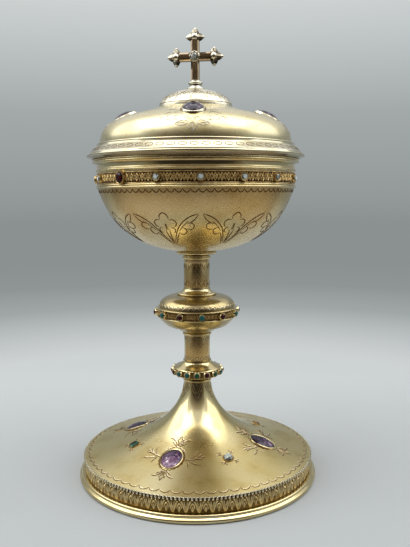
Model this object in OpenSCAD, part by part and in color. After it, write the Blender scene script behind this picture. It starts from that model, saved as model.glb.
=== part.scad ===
// Jewelled ciborium: a footed cup with a loose lid, in silver-gilt set with stones.
// Millimetres, +Z up, origin at the centre of the face that the foot rests on.
// The front faces -Y. Azimuths are degrees from the front, positive towards +X.

/* [Foot] */
// Outer radius of the base ring
foot_r = 70; // [62:0.5:85]
// Height of the base ring
foot_ring_h = 4.5; // [3.5:0.1:8]
// Radial width of the base ring
foot_ring_w = 6; // [5.5:0.1:9]
// Distance of the gallery wall in from the edge of the base ring
gallery_inset = 3.6; // [2.8:0.1:4]
// Height of the gallery wall
gallery_h = 6.7; // [4:0.1:12]
// Height of the beaded wire on the gallery
bead_wire_h = 2; // [1.4:0.1:3]
// How far the beaded wire stands out from the gallery
bead_wire_proud = 1.2; // [0.6:0.1:2]
// Height of the trumpet above the beaded wire
trumpet_h = 41; // [32:0.5:56]
// Width of the flat land under the edge of the trumpet
trumpet_land = 3.4; // [3:0.1:7]
// Radius of the trumpet at its neck
neck_r = 7.8; // [7.2:0.1:10]

/* [Stem] */
// Radius of the ring on the neck
neck_ring_r = 8.4; // [8:0.1:11]
// Height of the ring on the neck
neck_ring_h = 1.6; // [1:0.1:3]
// Radius of the jewelled collar at its stones
collar_r = 14; // [12:0.1:18]
// Height of the jewelled collar
collar_h = 11.2; // [9:0.1:15]
// Radius of the lower stem tube
lower_stem_r = 7.5; // [6.8:0.05:8]
// Length of the lower stem tube
lower_stem_h = 15; // [8:0.5:30]
// Height of the ring under the knop
knop_foot_h = 2.8; // [2:0.1:5]
// Radius of the knop at the land of its girdle
knop_r = 22.6; // [20:0.1:30]
// Height of the lower knop shell
knop_low_h = 8.3; // [6:0.1:14]
// Height of the jewelled girdle
girdle_h = 5.6; // [5.2:0.1:8]
// Height of the upper knop shell
knop_top_h = 7.1; // [5:0.1:12]
// Radius of the stepped collar over the knop
knop_collar_r = 11.7; // [10:0.1:15]
// Height of the stepped collar over the knop
knop_collar_h = 4.4; // [3:0.1:8]
// Radius of the upper stem tube
upper_stem_r = 7.45; // [6.8:0.05:8]
// Length of the upper stem tube
upper_stem_h = 14.3; // [11:0.1:30]
// Radius of the seat under the bowl
seat_r = 11.8; // [10:0.1:15]
// Height of the seat under the bowl
seat_h = 7.1; // [5:0.1:12]

/* [Tie rod] */
// Radius of the tie rod
rod_r = 3; // [2:0.1:3.5]
// Width of the nut across its flats
nut_flats = 9; // [8:0.1:9.6]
// Height of the nut
nut_h = 5; // [3:0.1:7]
// Thickness of the washer over the nut
washer_h = 1.4; // [1:0.1:2.5]
// Depth of the socket under the bowl
socket_h = 9; // [7.5:0.1:12]

/* [Bowl] */
// Outer radius of the bowl under its lower wire
bowl_r = 55.7; // [45:0.1:65]
// Height of the curved part of the bowl
bowl_h = 35.4; // [28:0.1:50]
// Depth of the ledge that the lower wire sits on
ledge_w = 0.7; // [0.4:0.1:1.2]
// Height of the wire under the jewelled band
low_wire_h = 2.2; // [1.4:0.1:3]
// Height of the jewelled band
band_h = 6; // [5.8:0.1:9]
// Radial thickness of the jewelled band
band_t = 1; // [0.6:0.1:1.5]
// Height of the wire over the jewelled band
top_wire_h = 2.8; // [1.6:0.1:4]
// How far both wires stand out from the band
wire_proud = 0.8; // [0.4:0.1:1.5]
// Height of the flared lip
lip_h = 3.6; // [2.6:0.1:6]
// How far the lip flares out from the band
lip_flare = 2.6; // [1.5:0.1:4]

/* [Lid] */
// How far the brim stands out past the lip
brim_over = 2.9; // [2:0.1:5]
// Height of the brim
brim_h = 8.5; // [7:0.1:12]
// Distance of the dome in from the edge of the brim
brim_run = 7.6; // [6.5:0.1:9]
// Height of the dome over the brim
dome_h = 20.2; // [15:0.1:30]
// Radius of the small cap on the dome
cap_r = 20.6; // [16:0.1:26]
// Height of the small cap
cap_h = 10.2; // [7:0.1:15]
// Depth of the flange that drops into the bowl
flange_depth = 8; // [4:0.1:14]
// Thickness of the flange's rim
flange_rim_h = 1; // [0.8:0.1:1.6]

/* [Finial] */
// Height of the finial's turned base
finial_base_h = 5.3; // [4:0.1:8]
// Radius of the finial's turned base
finial_base_r = 4.8; // [3.6:0.1:7]
// Height of the crossing above the foot of the cross
crossing_h = 12.8; // [12:0.1:18]
// Width of the arms of the cross
bar_w = 4.6; // [4:0.1:5.5]
// Distance from the crossing to the middle of each fleuron
fleuron_at = 10.7; // [10:0.1:14]
// Length of each leaf of a fleuron
leaf_l = 4.8; // [3.5:0.1:6]
// Azimuth that the cross faces
cross_azimuth = -9; // [-90:1:90]
// Radius of the stud that holds the finial
stud_r = 1.5; // [1:0.1:1.7]
// Width of the stud's nut across its flats
stud_nut_flats = 5.4; // [5:0.1:7]

/* [Sheet and fits] */
// Thickness of the sheet in the shells and tubes
sheet_t = 1.2; // [1:0.1:1.6]
// Thickness of the bowl's wall
bowl_t = 1.3; // [1:0.1:2]
// Clearance round the rod and studs
rod_fit = 0.4; // [0.2:0.05:0.6]
// Clearance of plain cylinders that stand for a thread
thread_fit = 0.1; // [0.05:0.05:0.2]
// Clearance between the lid's flange and the bowl
lid_fit = 0.4; // [0.3:0.05:1]
// Gap between pieces that slide or turn on each other
seat_gap = 0.2; // [0.1:0.05:0.4]
// Thickness of the solder film under a soldered setting
solder_film = 0.05; // [0.02:0.01:0.1]
// Clearance between a stone and its pocket
stone_fit = 0.1; // [0.05:0.05:0.2]

/* [Large stones] */
// Length of the foot's amethysts
foot_gem_l = 14.8; // [10:0.1:18]
// Width of the foot's amethysts
foot_gem_w = 11.4; // [8:0.1:14]
// Distance of the foot's stones from the axis
foot_gem_at = 40; // [36:0.5:46]
// Azimuth of the front amethyst on the foot
foot_gem_azimuth = -20; // [-45:1:45]
// Length of the lid's amethysts
lid_gem_l = 14; // [9:0.1:15]
// Width of the lid's amethysts
lid_gem_w = 10.8; // [8:0.1:13]
// Distance of the lid's amethysts from the axis
lid_gem_at = 39; // [34:0.5:41]
// Azimuth of the front amethyst on the lid
lid_gem_azimuth = -1; // [-45:1:45]
// Height of the pocket floor over the surface under a large stone
gem_bed = 0.7; // [0.6:0.05:1.6]
// Height of a large stone over its pocket floor
gem_h = 1.9; // [1.5:0.1:3.5]
// Height of a large collet over its pocket floor
gem_collet_h = 1; // [0.7:0.05:1.4]
// How far the bed of a large collet reaches below the surface before it is cut to fit
gem_bed_reach = 1.2; // [1:0.1:2]
// Wall of the large collets
gem_wall = 0.9; // [0.6:0.1:1.4]

/* [Small stones] */
// Radius of the round crystal on the foot
crystal_r = 2.7; // [1.8:0.1:3.6]
// Length of the emerald on the foot
emerald_l = 6; // [4:0.1:8]
// Width of the emerald on the foot
emerald_w = 4.6; // [3:0.1:6]
// Radius of the two other small stones on the foot
accent_r = 2.2; // [1.5:0.1:3]
// Radius of the small stones on the collar
collar_gem_r = 1.2; // [0.8:0.05:1.3]
// Radius of the stones on the knop
knop_gem_r = 1.6; // [1:0.05:1.7]
// Radius of the pale stones on the bowl
band_gem_r = 1.8; // [1.2:0.05:2.2]
// Radius of the garnets on the bowl
band_garnet_r = 2.2; // [1.4:0.05:2.3]
// Radius of the stone on the cross
cross_gem_r = 2; // [1.4:0.1:2.3]
// Wall of the small collets
small_wall = 0.5; // [0.3:0.05:0.6]
// Height of the pocket floor over the surface under a small stone
small_bed = 0.5; // [0.4:0.05:0.8]
// Height of the pocket floor over the foot's surface under a small stone
accent_bed = 0.8; // [0.6:0.05:1.2]
// Number of stones on the collar
collar_gems = 16; // [10:2:20]
// Number of stones on the knop
knop_gems = 12; // [6:2:16]
// Number of stones on the bowl
band_gems = 16; // [8:8:24]

/* [Hidden] */

round_fn = 128;
small_fn = 48;
cutter_fn = 400;
curve_steps = 20;
arc_steps = 8;
slope_step = 1;
cut_over = 1;
gem_sides = 24;

gilt = "#c9b37a";
bright_gilt = "#e3d5a6";
steel = "#9a9a96";
amethyst_purple = "#5d3a78";
turquoise_blue = "#3a9a98";
garnet_red = "#4a1014";
emerald_green = "#1f6a48";
citrine_yellow = "#d9b64a";
clear_white = "#e8eef0";

// Foot radii and levels
gallery_r = foot_r - gallery_inset;
gallery_in = gallery_r - sheet_t;
bead_wire_r = gallery_r + bead_wire_proud;
trumpet_r = bead_wire_r - bead_wire_h / 2;
gallery_z = foot_ring_h;
bead_z = gallery_z + gallery_h;
trumpet_z = bead_z + bead_wire_h;
neck_z = trumpet_z + trumpet_h;

// Stem levels, each piece standing on the one below
collar_z = neck_z + neck_ring_h;
lower_stem_z = collar_z + collar_h;
knop_foot_z = lower_stem_z + lower_stem_h;
knop_z = knop_foot_z + knop_foot_h;
girdle_z = knop_z + knop_low_h;
knop_top_z = girdle_z + girdle_h;
knop_collar_z = knop_top_z + knop_top_h;
upper_stem_z = knop_collar_z + knop_collar_h;
seat_z = upper_stem_z + upper_stem_h;
bowl_z = seat_z + seat_h;

// Stem details
rod_bore = rod_r + rod_fit;
knop_base_r = lower_stem_r + knop_foot_h;
land_room = 0.1;
girdle_land_h = 2 * (knop_gem_r + small_wall + land_room);
girdle_ridge_h = (girdle_h - girdle_land_h) / 2;
girdle_mid_z = girdle_z + girdle_h / 2;
collar_land_h = 2 * (collar_gem_r + small_wall + land_room);
collar_land_share = 0.27;
collar_land_z = collar_z + collar_h * collar_land_share;

// Collets
collet_wall_share = 0.5;
small_bed_reach = 2.5 * small_bed;

// Bowl and band
ledge_z = bowl_z + bowl_h;
wall_r = bowl_r - ledge_w;
mouth_r = wall_r - bowl_t;
band_r = wall_r + band_t;
band_z = ledge_z + low_wire_h;
top_wire_z = band_z + band_h;
lip_z = top_wire_z + top_wire_h;
lip_r = band_r + lip_flare;
lip_top_z = lip_z + lip_h;

// Lid
flange_r = mouth_r - lid_fit;
flange_z = lip_top_z + seat_gap;
flange_rim_inset = 0.6;
flange_rim_r = lip_r - flange_rim_inset;
brim_z = flange_z + flange_rim_h + seat_gap;
brim_r = lip_r + brim_over;
dome_r = brim_r - brim_run;
dome_z = brim_z + brim_h;
dome_top_z = dome_z + dome_h;
cap_ledge = 1;
dome_flat_r = cap_r + cap_ledge;
cap_top_z = dome_top_z + cap_h;
finial_seat_room = 0.2;
cap_flat_r = finial_base_r + finial_seat_room;
cross_z = cap_top_z + finial_base_h;

// Tie rod
socket_r = upper_stem_r - sheet_t - rod_fit;
socket_floor = 1.5;
rod_top_z = bowl_z - socket_floor;
washer_z = neck_z - sheet_t - washer_h;
nut_z = washer_z - nut_h;
rod_end = 2.5;

// Finial fixing
stud_bore = stud_r + rod_fit;
stud_reach = 4;
stud_nut_h = 2.4;
stud_washer_h = 0.8;
stud_washer_z = dome_top_z - sheet_t - stud_washer_h;
stud_nut_z = stud_washer_z - stud_nut_h;
stud_end = 1.2;
stud_end_room = 0.3;
stud_washer_over = 1.6;

// Azimuths of the stones
quarter = 90;
accent_azimuth = foot_gem_azimuth + quarter / 2;
collar_step = 360 / collar_gems;
collar_run = ["emerald", "garnet", "emerald", "turquoise", "garnet", "garnet", "turquoise", "turquoise"];
knop_step = 360 / knop_gems;
knop_azimuth = 7.4;
band_step = 360 / band_gems;
band_azimuth = 3;

// A cubic curve from p to q. The handles f and g are shares of the span, from p and back from q.
function curve_point(p, q, f, g, t) =
    let (span = q - p,
         a = p + [f.x * span.x, f.y * span.y],
         b = q - [g.x * span.x, g.y * span.y],
         s = 1 - t)
    s * s * s * p + 3 * s * s * t * a + 3 * s * t * t * b + t * t * t * q;

function curve(p, q, f, g) =
    [for (i = [0 : curve_steps]) curve_point(p, q, f, g, i / curve_steps)];

function arc(centre, radius, from, to) =
    [for (i = [0 : arc_steps])
        let (a = from + (to - from) * i / arc_steps)
        centre + radius * [cos(a), sin(a)]];

function reversed(list) = [for (i = [len(list) - 1 : -1 : 0]) list[i]];

// Section of a ring from r_in to r_out with a half-round outer edge, standing on z
function half_round(r_in, r_out, z, h) =
    concat([[r_in, z]], arc([r_out - h / 2, z + h / 2], h / 2, -90, 90), [[r_in, z + h]]);

// Height and slope of a lathe outline at radius r
function height_at(outline, r) = lookup(r, outline);
function tilt_at(outline, r) =
    atan2(height_at(outline, r - slope_step) - height_at(outline, r + slope_step), 2 * slope_step);

module lathe(points) {
    rotate_extrude($fn = round_fn) polygon(points);
}

module at_azimuth(azimuth) {
    rotate([0, 0, azimuth]) children();
}

// Puts local +Z on the outward normal of a lathe outline, at radius r
module on_outline(outline, r, azimuth) {
    at_azimuth(azimuth)
        translate([0, -r, height_at(outline, r)])
            rotate([tilt_at(outline, r), 0, 0])
                children();
}

// Puts local +Z straight out of an upright band
module on_band(r, z, azimuth) {
    at_azimuth(azimuth) translate([0, -r, z]) rotate([90, 0, 0]) children();
}

// Outlines of the shells: outer faces run from the lower edge to the upper one
trumpet_f = [0.348, 0.154];
trumpet_g = [0.076, 0.76];
trumpet_out = curve([trumpet_r, trumpet_z], [neck_r, neck_z], trumpet_f, trumpet_g);
trumpet_in = curve([trumpet_r - trumpet_land, trumpet_z], [neck_r - sheet_t, neck_z - sheet_t],
                   trumpet_f, trumpet_g);

bowl_f = [0.416, 0.058];
bowl_g = [0.17, 0.703];
bowl_foot_over = 0.2;
bowl_out = curve([seat_r + bowl_foot_over, bowl_z], [bowl_r, ledge_z], bowl_f, bowl_g);
bowl_in = curve([seat_r - bowl_t / 2, bowl_z + bowl_t], [mouth_r, ledge_z], bowl_f, bowl_g);

dome_f = [-0.034, 0.781];
dome_g = [0.302, 0.122];
dome_out = curve([dome_r, dome_z], [dome_flat_r, dome_top_z], dome_f, dome_g);
dome_in = curve([dome_r - sheet_t, dome_z], [dome_flat_r - sheet_t / 2, dome_top_z - sheet_t],
                dome_f, dome_g);

cap_edge_h = 1;
cap_f = [0.044, 0.571];
cap_g = [0.174, 0];
cap_out = curve([cap_r, dome_top_z + cap_edge_h], [cap_flat_r, cap_top_z], cap_f, cap_g);
cap_in = curve([cap_r - sheet_t, dome_top_z + cap_edge_h], [cap_flat_r, cap_top_z - sheet_t],
               cap_f, cap_g);

knop_low_f = [0.359, 0.453];
knop_low_g = [0.539, 1.041];
knop_low_out = curve([knop_base_r, knop_z], [knop_r, girdle_z], knop_low_f, knop_low_g);
knop_low_in = curve([knop_base_r - sheet_t, knop_z + sheet_t], [knop_r - sheet_t, girdle_z],
                    knop_low_f, knop_low_g);

knop_top_inset = 0.6;
knop_top_r = knop_r - knop_top_inset;
knop_top_f = [0, 0.75];
knop_top_g = [0.478, 0.09];
knop_top_out = curve([knop_top_r, knop_top_z], [knop_collar_r, knop_collar_z],
                     knop_top_f, knop_top_g);
knop_top_in = curve([knop_top_r - sheet_t, knop_top_z],
                    [knop_collar_r - sheet_t / 2, knop_collar_z - sheet_t],
                    knop_top_f, knop_top_g);

// Solid cores that settings are cut to, so that each sits on its surface
module trumpet_core() {
    lathe(concat([[0, trumpet_z]], trumpet_out, [[0, neck_z]]));
}

module dome_core() {
    lathe(concat([[0, dome_z]], dome_out, [[0, dome_top_z]]));
}

// An oval outline, long side along Y
module oval(l, w) {
    polygon([for (i = [0 : gem_sides - 1])
        let (a = 360 * i / gem_sides)
        [w / 2 * cos(a), l / 2 * sin(a)]]);
}

// An oblong outline with cut corners, long side along Y
module step_outline(l, w) {
    cut = w / 4;
    polygon([
        [w / 2, l / 2 - cut], [w / 2 - cut, l / 2], [cut - w / 2, l / 2], [-w / 2, l / 2 - cut],
        [-w / 2, cut - l / 2], [cut - w / 2, -l / 2], [w / 2 - cut, -l / 2], [w / 2, cut - l / 2]
    ]);
}

// A large faceted oval stone on z = 0: girdle, crown and table
module oval_stone(l, w) {
    girdle = gem_h * 0.4;
    table = 0.62;
    ring = [for (i = [0 : gem_sides - 1])
        let (a = 360 * i / gem_sides)
        [w / 2 * cos(a), l / 2 * sin(a)]];
    points = concat(
        [for (p = ring) [p.x, p.y, 0]],
        [for (p = ring) [p.x, p.y, girdle]],
        [for (p = ring) [p.x * table, p.y * table, gem_h]]);
    n = gem_sides;
    sides = [for (k = [0, n], i = [0 : n - 1])
        let (j = (i + 1) % n)
        [k + i, k + n + i, k + n + j, k + j]];
    bottom = [[for (i = [0 : n - 1]) i]];
    top = [[for (i = [n - 1 : -1 : 0]) 2 * n + i]];
    polyhedron(points, concat(bottom, sides, top));
}

// A large collet with its pocket floor on z = 0, its bed reaching below for cutting to fit
module oval_collet(l, w) {
    reach = gem_bed + gem_bed_reach;
    difference() {
        translate([0, 0, -reach])
            linear_extrude(reach + gem_collet_h)
                oval(l + 2 * gem_wall, w + 2 * gem_wall);
        linear_extrude(gem_collet_h + cut_over) oval(l + 2 * stone_fit, w + 2 * stone_fit);
    }
}

// A small round collet with its pocket floor on z = 0, its bed reaching down for cutting to fit
module round_collet(r) {
    wall_h = r * collet_wall_share;
    reach = small_bed_reach;
    difference() {
        translate([0, 0, -reach]) cylinder(r = r + small_wall, h = reach + wall_h, $fn = small_fn);
        cylinder(r = r + stone_fit, h = wall_h + cut_over, $fn = small_fn);
    }
}

// A small brilliant-cut stone on z = 0
module brilliant(r) {
    girdle = r * 0.4;
    crown = r * 0.45;
    table = r * 0.6;
    rotate_extrude($fn = small_fn)
        polygon([[0, 0], [r, 0], [r, girdle], [table, girdle + crown], [0, girdle + crown]]);
}

// A small domed stone on z = 0
module cabochon(r) {
    girdle = r * 0.3;
    crown = r * 0.7;
    dome = [for (i = [0 : arc_steps - 1])
        let (a = 90 * i / arc_steps)
        [r * cos(a), girdle + crown * sin(a)]];
    rotate_extrude($fn = small_fn)
        polygon(concat([[0, 0], [r, 0]], dome, [[0, girdle + crown]]));
}

// Places for the stones
module foot_gem_places() {
    for (k = [0 : 3])
        on_outline(trumpet_out, foot_gem_at, foot_gem_azimuth + quarter * k)
            translate([0, 0, gem_bed])
                children();
}

module foot_accent_place(k) {
    on_outline(trumpet_out, foot_gem_at, accent_azimuth + quarter * k)
        translate([0, 0, accent_bed])
            children();
}

module lid_gem_places() {
    for (k = [0 : 3])
        on_outline(dome_out, lid_gem_at, lid_gem_azimuth + quarter * k)
            translate([0, 0, gem_bed])
                children();
}

module collar_place(k) {
    on_band(collar_r + small_bed, collar_land_z + collar_land_h / 2, collar_step * k) children();
}

// Stones of one kind on the collar
module collar_stones(kind) {
    for (k = [0 : collar_gems - 1])
        if (collar_run[k % len(collar_run)] == kind)
            collar_place(k) cabochon(collar_gem_r);
}

module knop_places(first, step) {
    for (k = [first : step : knop_gems - 1])
        on_band(knop_r + small_bed, girdle_mid_z, knop_azimuth + knop_step * k) children();
}

// Every eighth place on the bowl's band holds a garnet
garnet_every = 8;
garnet_first = garnet_every - 2;
function holds_garnet(k) = k % garnet_every == garnet_first;

module band_place(k) {
    on_band(band_r + small_bed, band_z + band_h / 2, band_azimuth + band_step * k) children();
}

// Foot
module foot_ring() {
    step_h = foot_ring_h * 0.4;
    main_h = foot_ring_h - step_h;
    step_inset = 1.2;
    step_r = foot_r - step_inset;
    main_ends = 60;
    step_starts = -45;
    color(bright_gilt)
        lathe(concat([[foot_r - foot_ring_w, 0], [foot_r - main_h / 2, 0]],
                     arc([foot_r - main_h / 2, main_h / 2], main_h / 2, -90, main_ends),
                     arc([step_r - step_h / 2, main_h + step_h / 2], step_h / 2, step_starts, 90),
                     [[foot_r - foot_ring_w, foot_ring_h]]));
}

module foot_gallery() {
    color(gilt)
        lathe([[gallery_in, gallery_z], [gallery_r, gallery_z],
               [gallery_r, bead_z], [gallery_in, bead_z]]);
}

module foot_bead_wire() {
    color(bright_gilt) lathe(half_round(gallery_in, bead_wire_r, bead_z, bead_wire_h));
}

module foot_trumpet() {
    color(gilt)
        lathe(concat(trumpet_out, [[rod_bore, neck_z], [rod_bore, neck_z - sheet_t]],
                     reversed(trumpet_in)));
}

module foot_amethyst_collets() {
    color(bright_gilt)
        difference() {
            foot_gem_places() oval_collet(foot_gem_l, foot_gem_w);
            translate([0, 0, solder_film]) trumpet_core();
        }
}

module foot_amethysts() {
    color(amethyst_purple) foot_gem_places() oval_stone(foot_gem_l, foot_gem_w);
}

// A collet with cut corners for the oblong emerald
module step_collet() {
    wall_h = crystal_r * collet_wall_share;
    reach = small_bed_reach;
    difference() {
        translate([0, 0, -reach])
            linear_extrude(reach + wall_h)
                step_outline(emerald_l + 2 * small_wall, emerald_w + 2 * small_wall);
        linear_extrude(wall_h + cut_over)
            step_outline(emerald_l + 2 * stone_fit, emerald_w + 2 * stone_fit);
    }
}

module foot_small_collets() {
    color(bright_gilt)
        difference() {
            union() {
                foot_accent_place(0) round_collet(crystal_r);
                foot_accent_place(1) round_collet(accent_r);
                foot_accent_place(2) round_collet(accent_r);
                foot_accent_place(3) step_collet();
            }
            translate([0, 0, solder_film]) trumpet_core();
        }
}

module foot_emerald() {
    stone_h = emerald_w * 0.45;
    color(emerald_green)
        foot_accent_place(3) linear_extrude(stone_h) step_outline(emerald_l, emerald_w);
}

module foot_crystal() {
    color(clear_white) foot_accent_place(0) brilliant(crystal_r);
}

module foot_citrine() {
    color(citrine_yellow) foot_accent_place(1) brilliant(accent_r);
}

module foot_garnet() {
    color(garnet_red) foot_accent_place(2) brilliant(accent_r);
}

// Stem
module neck_ring() {
    color(bright_gilt) lathe(half_round(rod_bore, neck_ring_r, neck_z, neck_ring_h));
}

module jewel_collar() {
    land_top = collar_land_z + collar_land_h;
    edge_in = 0.6;
    edge_h = 0.5;
    shoulder = [collar_r - edge_in, land_top + edge_h];
    rim_proud = 0.8;
    rim_h = 1;
    top_r = lower_stem_r + rim_proud;
    shoulder_f = [0.5, 0.35];
    shoulder_g = [0.3, 0.6];
    foot_edge = [neck_ring_r - neck_ring_h / 2, collar_z];
    color(bright_gilt)
        lathe(concat([[rod_bore, collar_z], foot_edge, [collar_r - edge_in, collar_land_z - edge_h],
                      [collar_r, collar_land_z], [collar_r, land_top]],
                     curve(shoulder, [top_r, lower_stem_z - rim_h], shoulder_f, shoulder_g),
                     [[top_r, lower_stem_z], [rod_bore, lower_stem_z]]));
}

module collar_collets() {
    color(gilt)
        difference() {
            for (k = [0 : collar_gems - 1]) collar_place(k) round_collet(collar_gem_r);
            cylinder(r = collar_r + solder_film, h = 2 * lower_stem_z, $fn = cutter_fn);
        }
}

module collar_turquoises() {
    color(turquoise_blue) collar_stones("turquoise");
}

module collar_emeralds() {
    color(emerald_green) collar_stones("emerald");
}

module collar_garnets() {
    color(garnet_red) collar_stones("garnet");
}

module tube(r, z, h) {
    lathe([[r - sheet_t, z], [r, z], [r, z + h], [r - sheet_t, z + h]]);
}

module lower_stem() {
    color(gilt) tube(lower_stem_r, lower_stem_z, lower_stem_h);
}

module knop_foot_ring() {
    bead_h = knop_foot_h / 2;
    bead_proud = 1;
    bead_r = lower_stem_r + bead_proud;
    color(bright_gilt)
        lathe(concat([[rod_bore, knop_foot_z]],
                     arc([bead_r - bead_h / 2, knop_foot_z + bead_h / 2], bead_h / 2, -90, 90),
                     [[lower_stem_r, knop_foot_z + bead_h], [knop_base_r, knop_z], [rod_bore, knop_z]]));
}

module knop_lower_shell() {
    color(gilt)
        lathe(concat([[rod_bore, knop_z]], knop_low_out, reversed(knop_low_in),
                     [[rod_bore, knop_z + sheet_t]]));
}

module knop_girdle() {
    inner_r = knop_top_r - sheet_t;
    low_ridge_proud = 0.5;
    top_ridge_proud = 1.1;
    low_ridge_r = knop_r + low_ridge_proud;
    top_ridge_r = knop_r + top_ridge_proud;
    land_z = girdle_z + girdle_ridge_h;
    land_top = knop_top_z - girdle_ridge_h;
    half = girdle_ridge_h / 2;
    color(bright_gilt)
        lathe(concat([[inner_r, girdle_z]],
                     arc([low_ridge_r - half, girdle_z + half], half, -90, 90),
                     [[knop_r, land_z], [knop_r, land_top]],
                     arc([top_ridge_r - half, land_top + half], half, -90, 90),
                     [[inner_r, knop_top_z]]));
}

module knop_upper_shell() {
    color(gilt)
        lathe(concat(knop_top_out, [[rod_bore, knop_collar_z], [rod_bore, knop_collar_z - sheet_t]],
                     reversed(knop_top_in)));
}

module knop_collets() {
    color(bright_gilt)
        difference() {
            knop_places(0, 1) round_collet(knop_gem_r);
            cylinder(r = knop_r + solder_film, h = 2 * knop_top_z, $fn = cutter_fn);
        }
}

module knop_turquoises() {
    color(turquoise_blue) knop_places(0, 2) cabochon(knop_gem_r);
}

module knop_garnets() {
    color(garnet_red) knop_places(1, 2) cabochon(knop_gem_r);
}

module knop_collar() {
    step_h = knop_collar_h * 0.28;
    step_in = 1.2;
    rim_proud = 0.3;
    rim_h = 0.6;
    top_r = upper_stem_r + rim_proud;
    cove_f = [0.4, 0];
    cove_g = [0.1, 0.6];
    color(bright_gilt)
        lathe(concat([[rod_bore, knop_collar_z]],
                     arc([knop_collar_r - step_h / 2, knop_collar_z + step_h / 2], step_h / 2, -90, 90),
                     curve([knop_collar_r - step_in, knop_collar_z + step_h],
                           [top_r, upper_stem_z - rim_h], cove_f, cove_g),
                     [[top_r, upper_stem_z], [rod_bore, upper_stem_z]]));
}

module upper_stem() {
    color(gilt) tube(upper_stem_r, upper_stem_z, upper_stem_h);
}

module bowl_seat() {
    bead_h = seat_h * 0.2;
    bead_proud = 1;
    bead_r = upper_stem_r + bead_proud;
    flare_z = seat_z + bead_h * 2;
    rim_h = seat_h * 0.3;
    rim_proud = 0.6;
    flare_f = [0, 0.5];
    flare_g = [0.5, 0];
    bore = socket_r + rod_fit;
    color(bright_gilt)
        lathe(concat([[bore, seat_z]],
                     arc([bead_r - bead_h / 2, seat_z + bead_h / 2], bead_h / 2, -90, 90),
                     curve([bead_r - bead_h / 2, flare_z], [seat_r - rim_proud, bowl_z - rim_h],
                           flare_f, flare_g),
                     arc([seat_r - rim_h / 2, bowl_z - rim_h / 2], rim_h / 2, -90, 90),
                     [[bore, bowl_z]]));
}

// Tie rod and what it pulls on
module tie_rod() {
    low_z = nut_z - rod_end;
    color(steel) translate([0, 0, low_z]) cylinder(r = rod_r, h = rod_top_z - low_z, $fn = round_fn);
}

module bowl_socket() {
    color(gilt)
        translate([0, 0, bowl_z - socket_h])
            difference() {
                cylinder(r = socket_r, h = socket_h, $fn = round_fn);
                translate([0, 0, -cut_over])
                    cylinder(r = rod_r + thread_fit, h = socket_h - socket_floor + cut_over,
                             $fn = round_fn);
            }
}

module foot_washer() {
    washer_r = neck_r - sheet_t - 2 * rod_fit;
    color(steel)
        translate([0, 0, washer_z])
            difference() {
                cylinder(r = washer_r, h = washer_h, $fn = round_fn);
                translate([0, 0, -cut_over])
                    cylinder(r = rod_bore, h = washer_h + 2 * cut_over, $fn = round_fn);
            }
}

module hex_nut(flats, h, bore) {
    difference() {
        cylinder(r = flats / 2 / cos(30), h = h, $fn = 6);
        translate([0, 0, -cut_over]) cylinder(r = bore, h = h + 2 * cut_over, $fn = round_fn);
    }
}

module foot_nut() {
    color(steel) translate([0, 0, nut_z]) hex_nut(nut_flats, nut_h, rod_r + thread_fit);
}

// Bowl
module bowl_shell() {
    color(gilt)
        lathe(concat([[0, bowl_z]], bowl_out,
                     [[wall_r, ledge_z], [wall_r, lip_z], [mouth_r, lip_z]],
                     reversed(bowl_in), [[0, bowl_z + bowl_t]]));
}

module band_lower_wire() {
    color(bright_gilt) lathe(half_round(wall_r, band_r + wire_proud, ledge_z, low_wire_h));
}

module jewel_band() {
    color(gilt)
        lathe([[wall_r, band_z], [band_r, band_z], [band_r, top_wire_z], [wall_r, top_wire_z]]);
}

module band_upper_wire() {
    color(bright_gilt) lathe(half_round(wall_r, band_r + wire_proud, top_wire_z, top_wire_h));
}

module bowl_lip() {
    edge_h = lip_h * 0.3;
    flare_f = [0.1, 0.6];
    flare_g = [0.4, 0.2];
    color(bright_gilt)
        lathe(concat([[mouth_r, lip_z]],
                     curve([band_r, lip_z], [lip_r, lip_top_z - edge_h], flare_f, flare_g),
                     [[lip_r, lip_top_z], [mouth_r, lip_top_z]]));
}

module band_collets() {
    color(bright_gilt)
        difference() {
            for (k = [0 : band_gems - 1])
                band_place(k) round_collet(holds_garnet(k) ? band_garnet_r : band_gem_r);
            translate([0, 0, ledge_z])
                cylinder(r = band_r + solder_film, h = lip_z - ledge_z, $fn = cutter_fn);
        }
}

module band_garnets() {
    color(garnet_red)
        for (k = [0 : band_gems - 1])
            if (holds_garnet(k)) band_place(k) brilliant(band_garnet_r);
}

module band_white_stones() {
    color(clear_white)
        for (k = [0 : band_gems - 1])
            if (!holds_garnet(k)) band_place(k) brilliant(band_gem_r);
}

// Lid
module lid_flange() {
    inner_r = flange_r - sheet_t;
    color(gilt)
        lathe([[inner_r, flange_z - flange_depth], [flange_r, flange_z - flange_depth],
               [flange_r, flange_z], [flange_rim_r, flange_z],
               [flange_rim_r, flange_z + flange_rim_h], [inner_r, flange_z + flange_rim_h]]);
}

module lid_brim() {
    edge_z = brim_z + brim_h * 0.2;
    edge_h = brim_h * 0.12;
    edge_round = 0.3;
    under_in = 1.7;
    top_in = 1;
    slope_out = 1.6;
    ledge_h = 0.9;
    foot_in = flange_rim_r - sheet_t;
    inner_top = dome_r - sheet_t;
    slope_top = dome_r + slope_out;
    color(bright_gilt)
        lathe([[foot_in, brim_z], [brim_r - under_in, brim_z],
               [brim_r - edge_round, edge_z - edge_h / 2], [brim_r, edge_z],
               [brim_r - edge_round, edge_z + edge_h / 2], [brim_r - top_in, edge_z + edge_h],
               [slope_top, dome_z - ledge_h], [slope_top - edge_round, dome_z],
               [inner_top, dome_z], [inner_top, dome_z - sheet_t],
               [slope_top - sheet_t, dome_z - ledge_h - sheet_t], [foot_in, edge_z]]);
}

module lid_dome() {
    color(gilt)
        lathe(concat(dome_out, [[stud_bore, dome_top_z], [stud_bore, dome_top_z - sheet_t]],
                     reversed(dome_in)));
}

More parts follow.
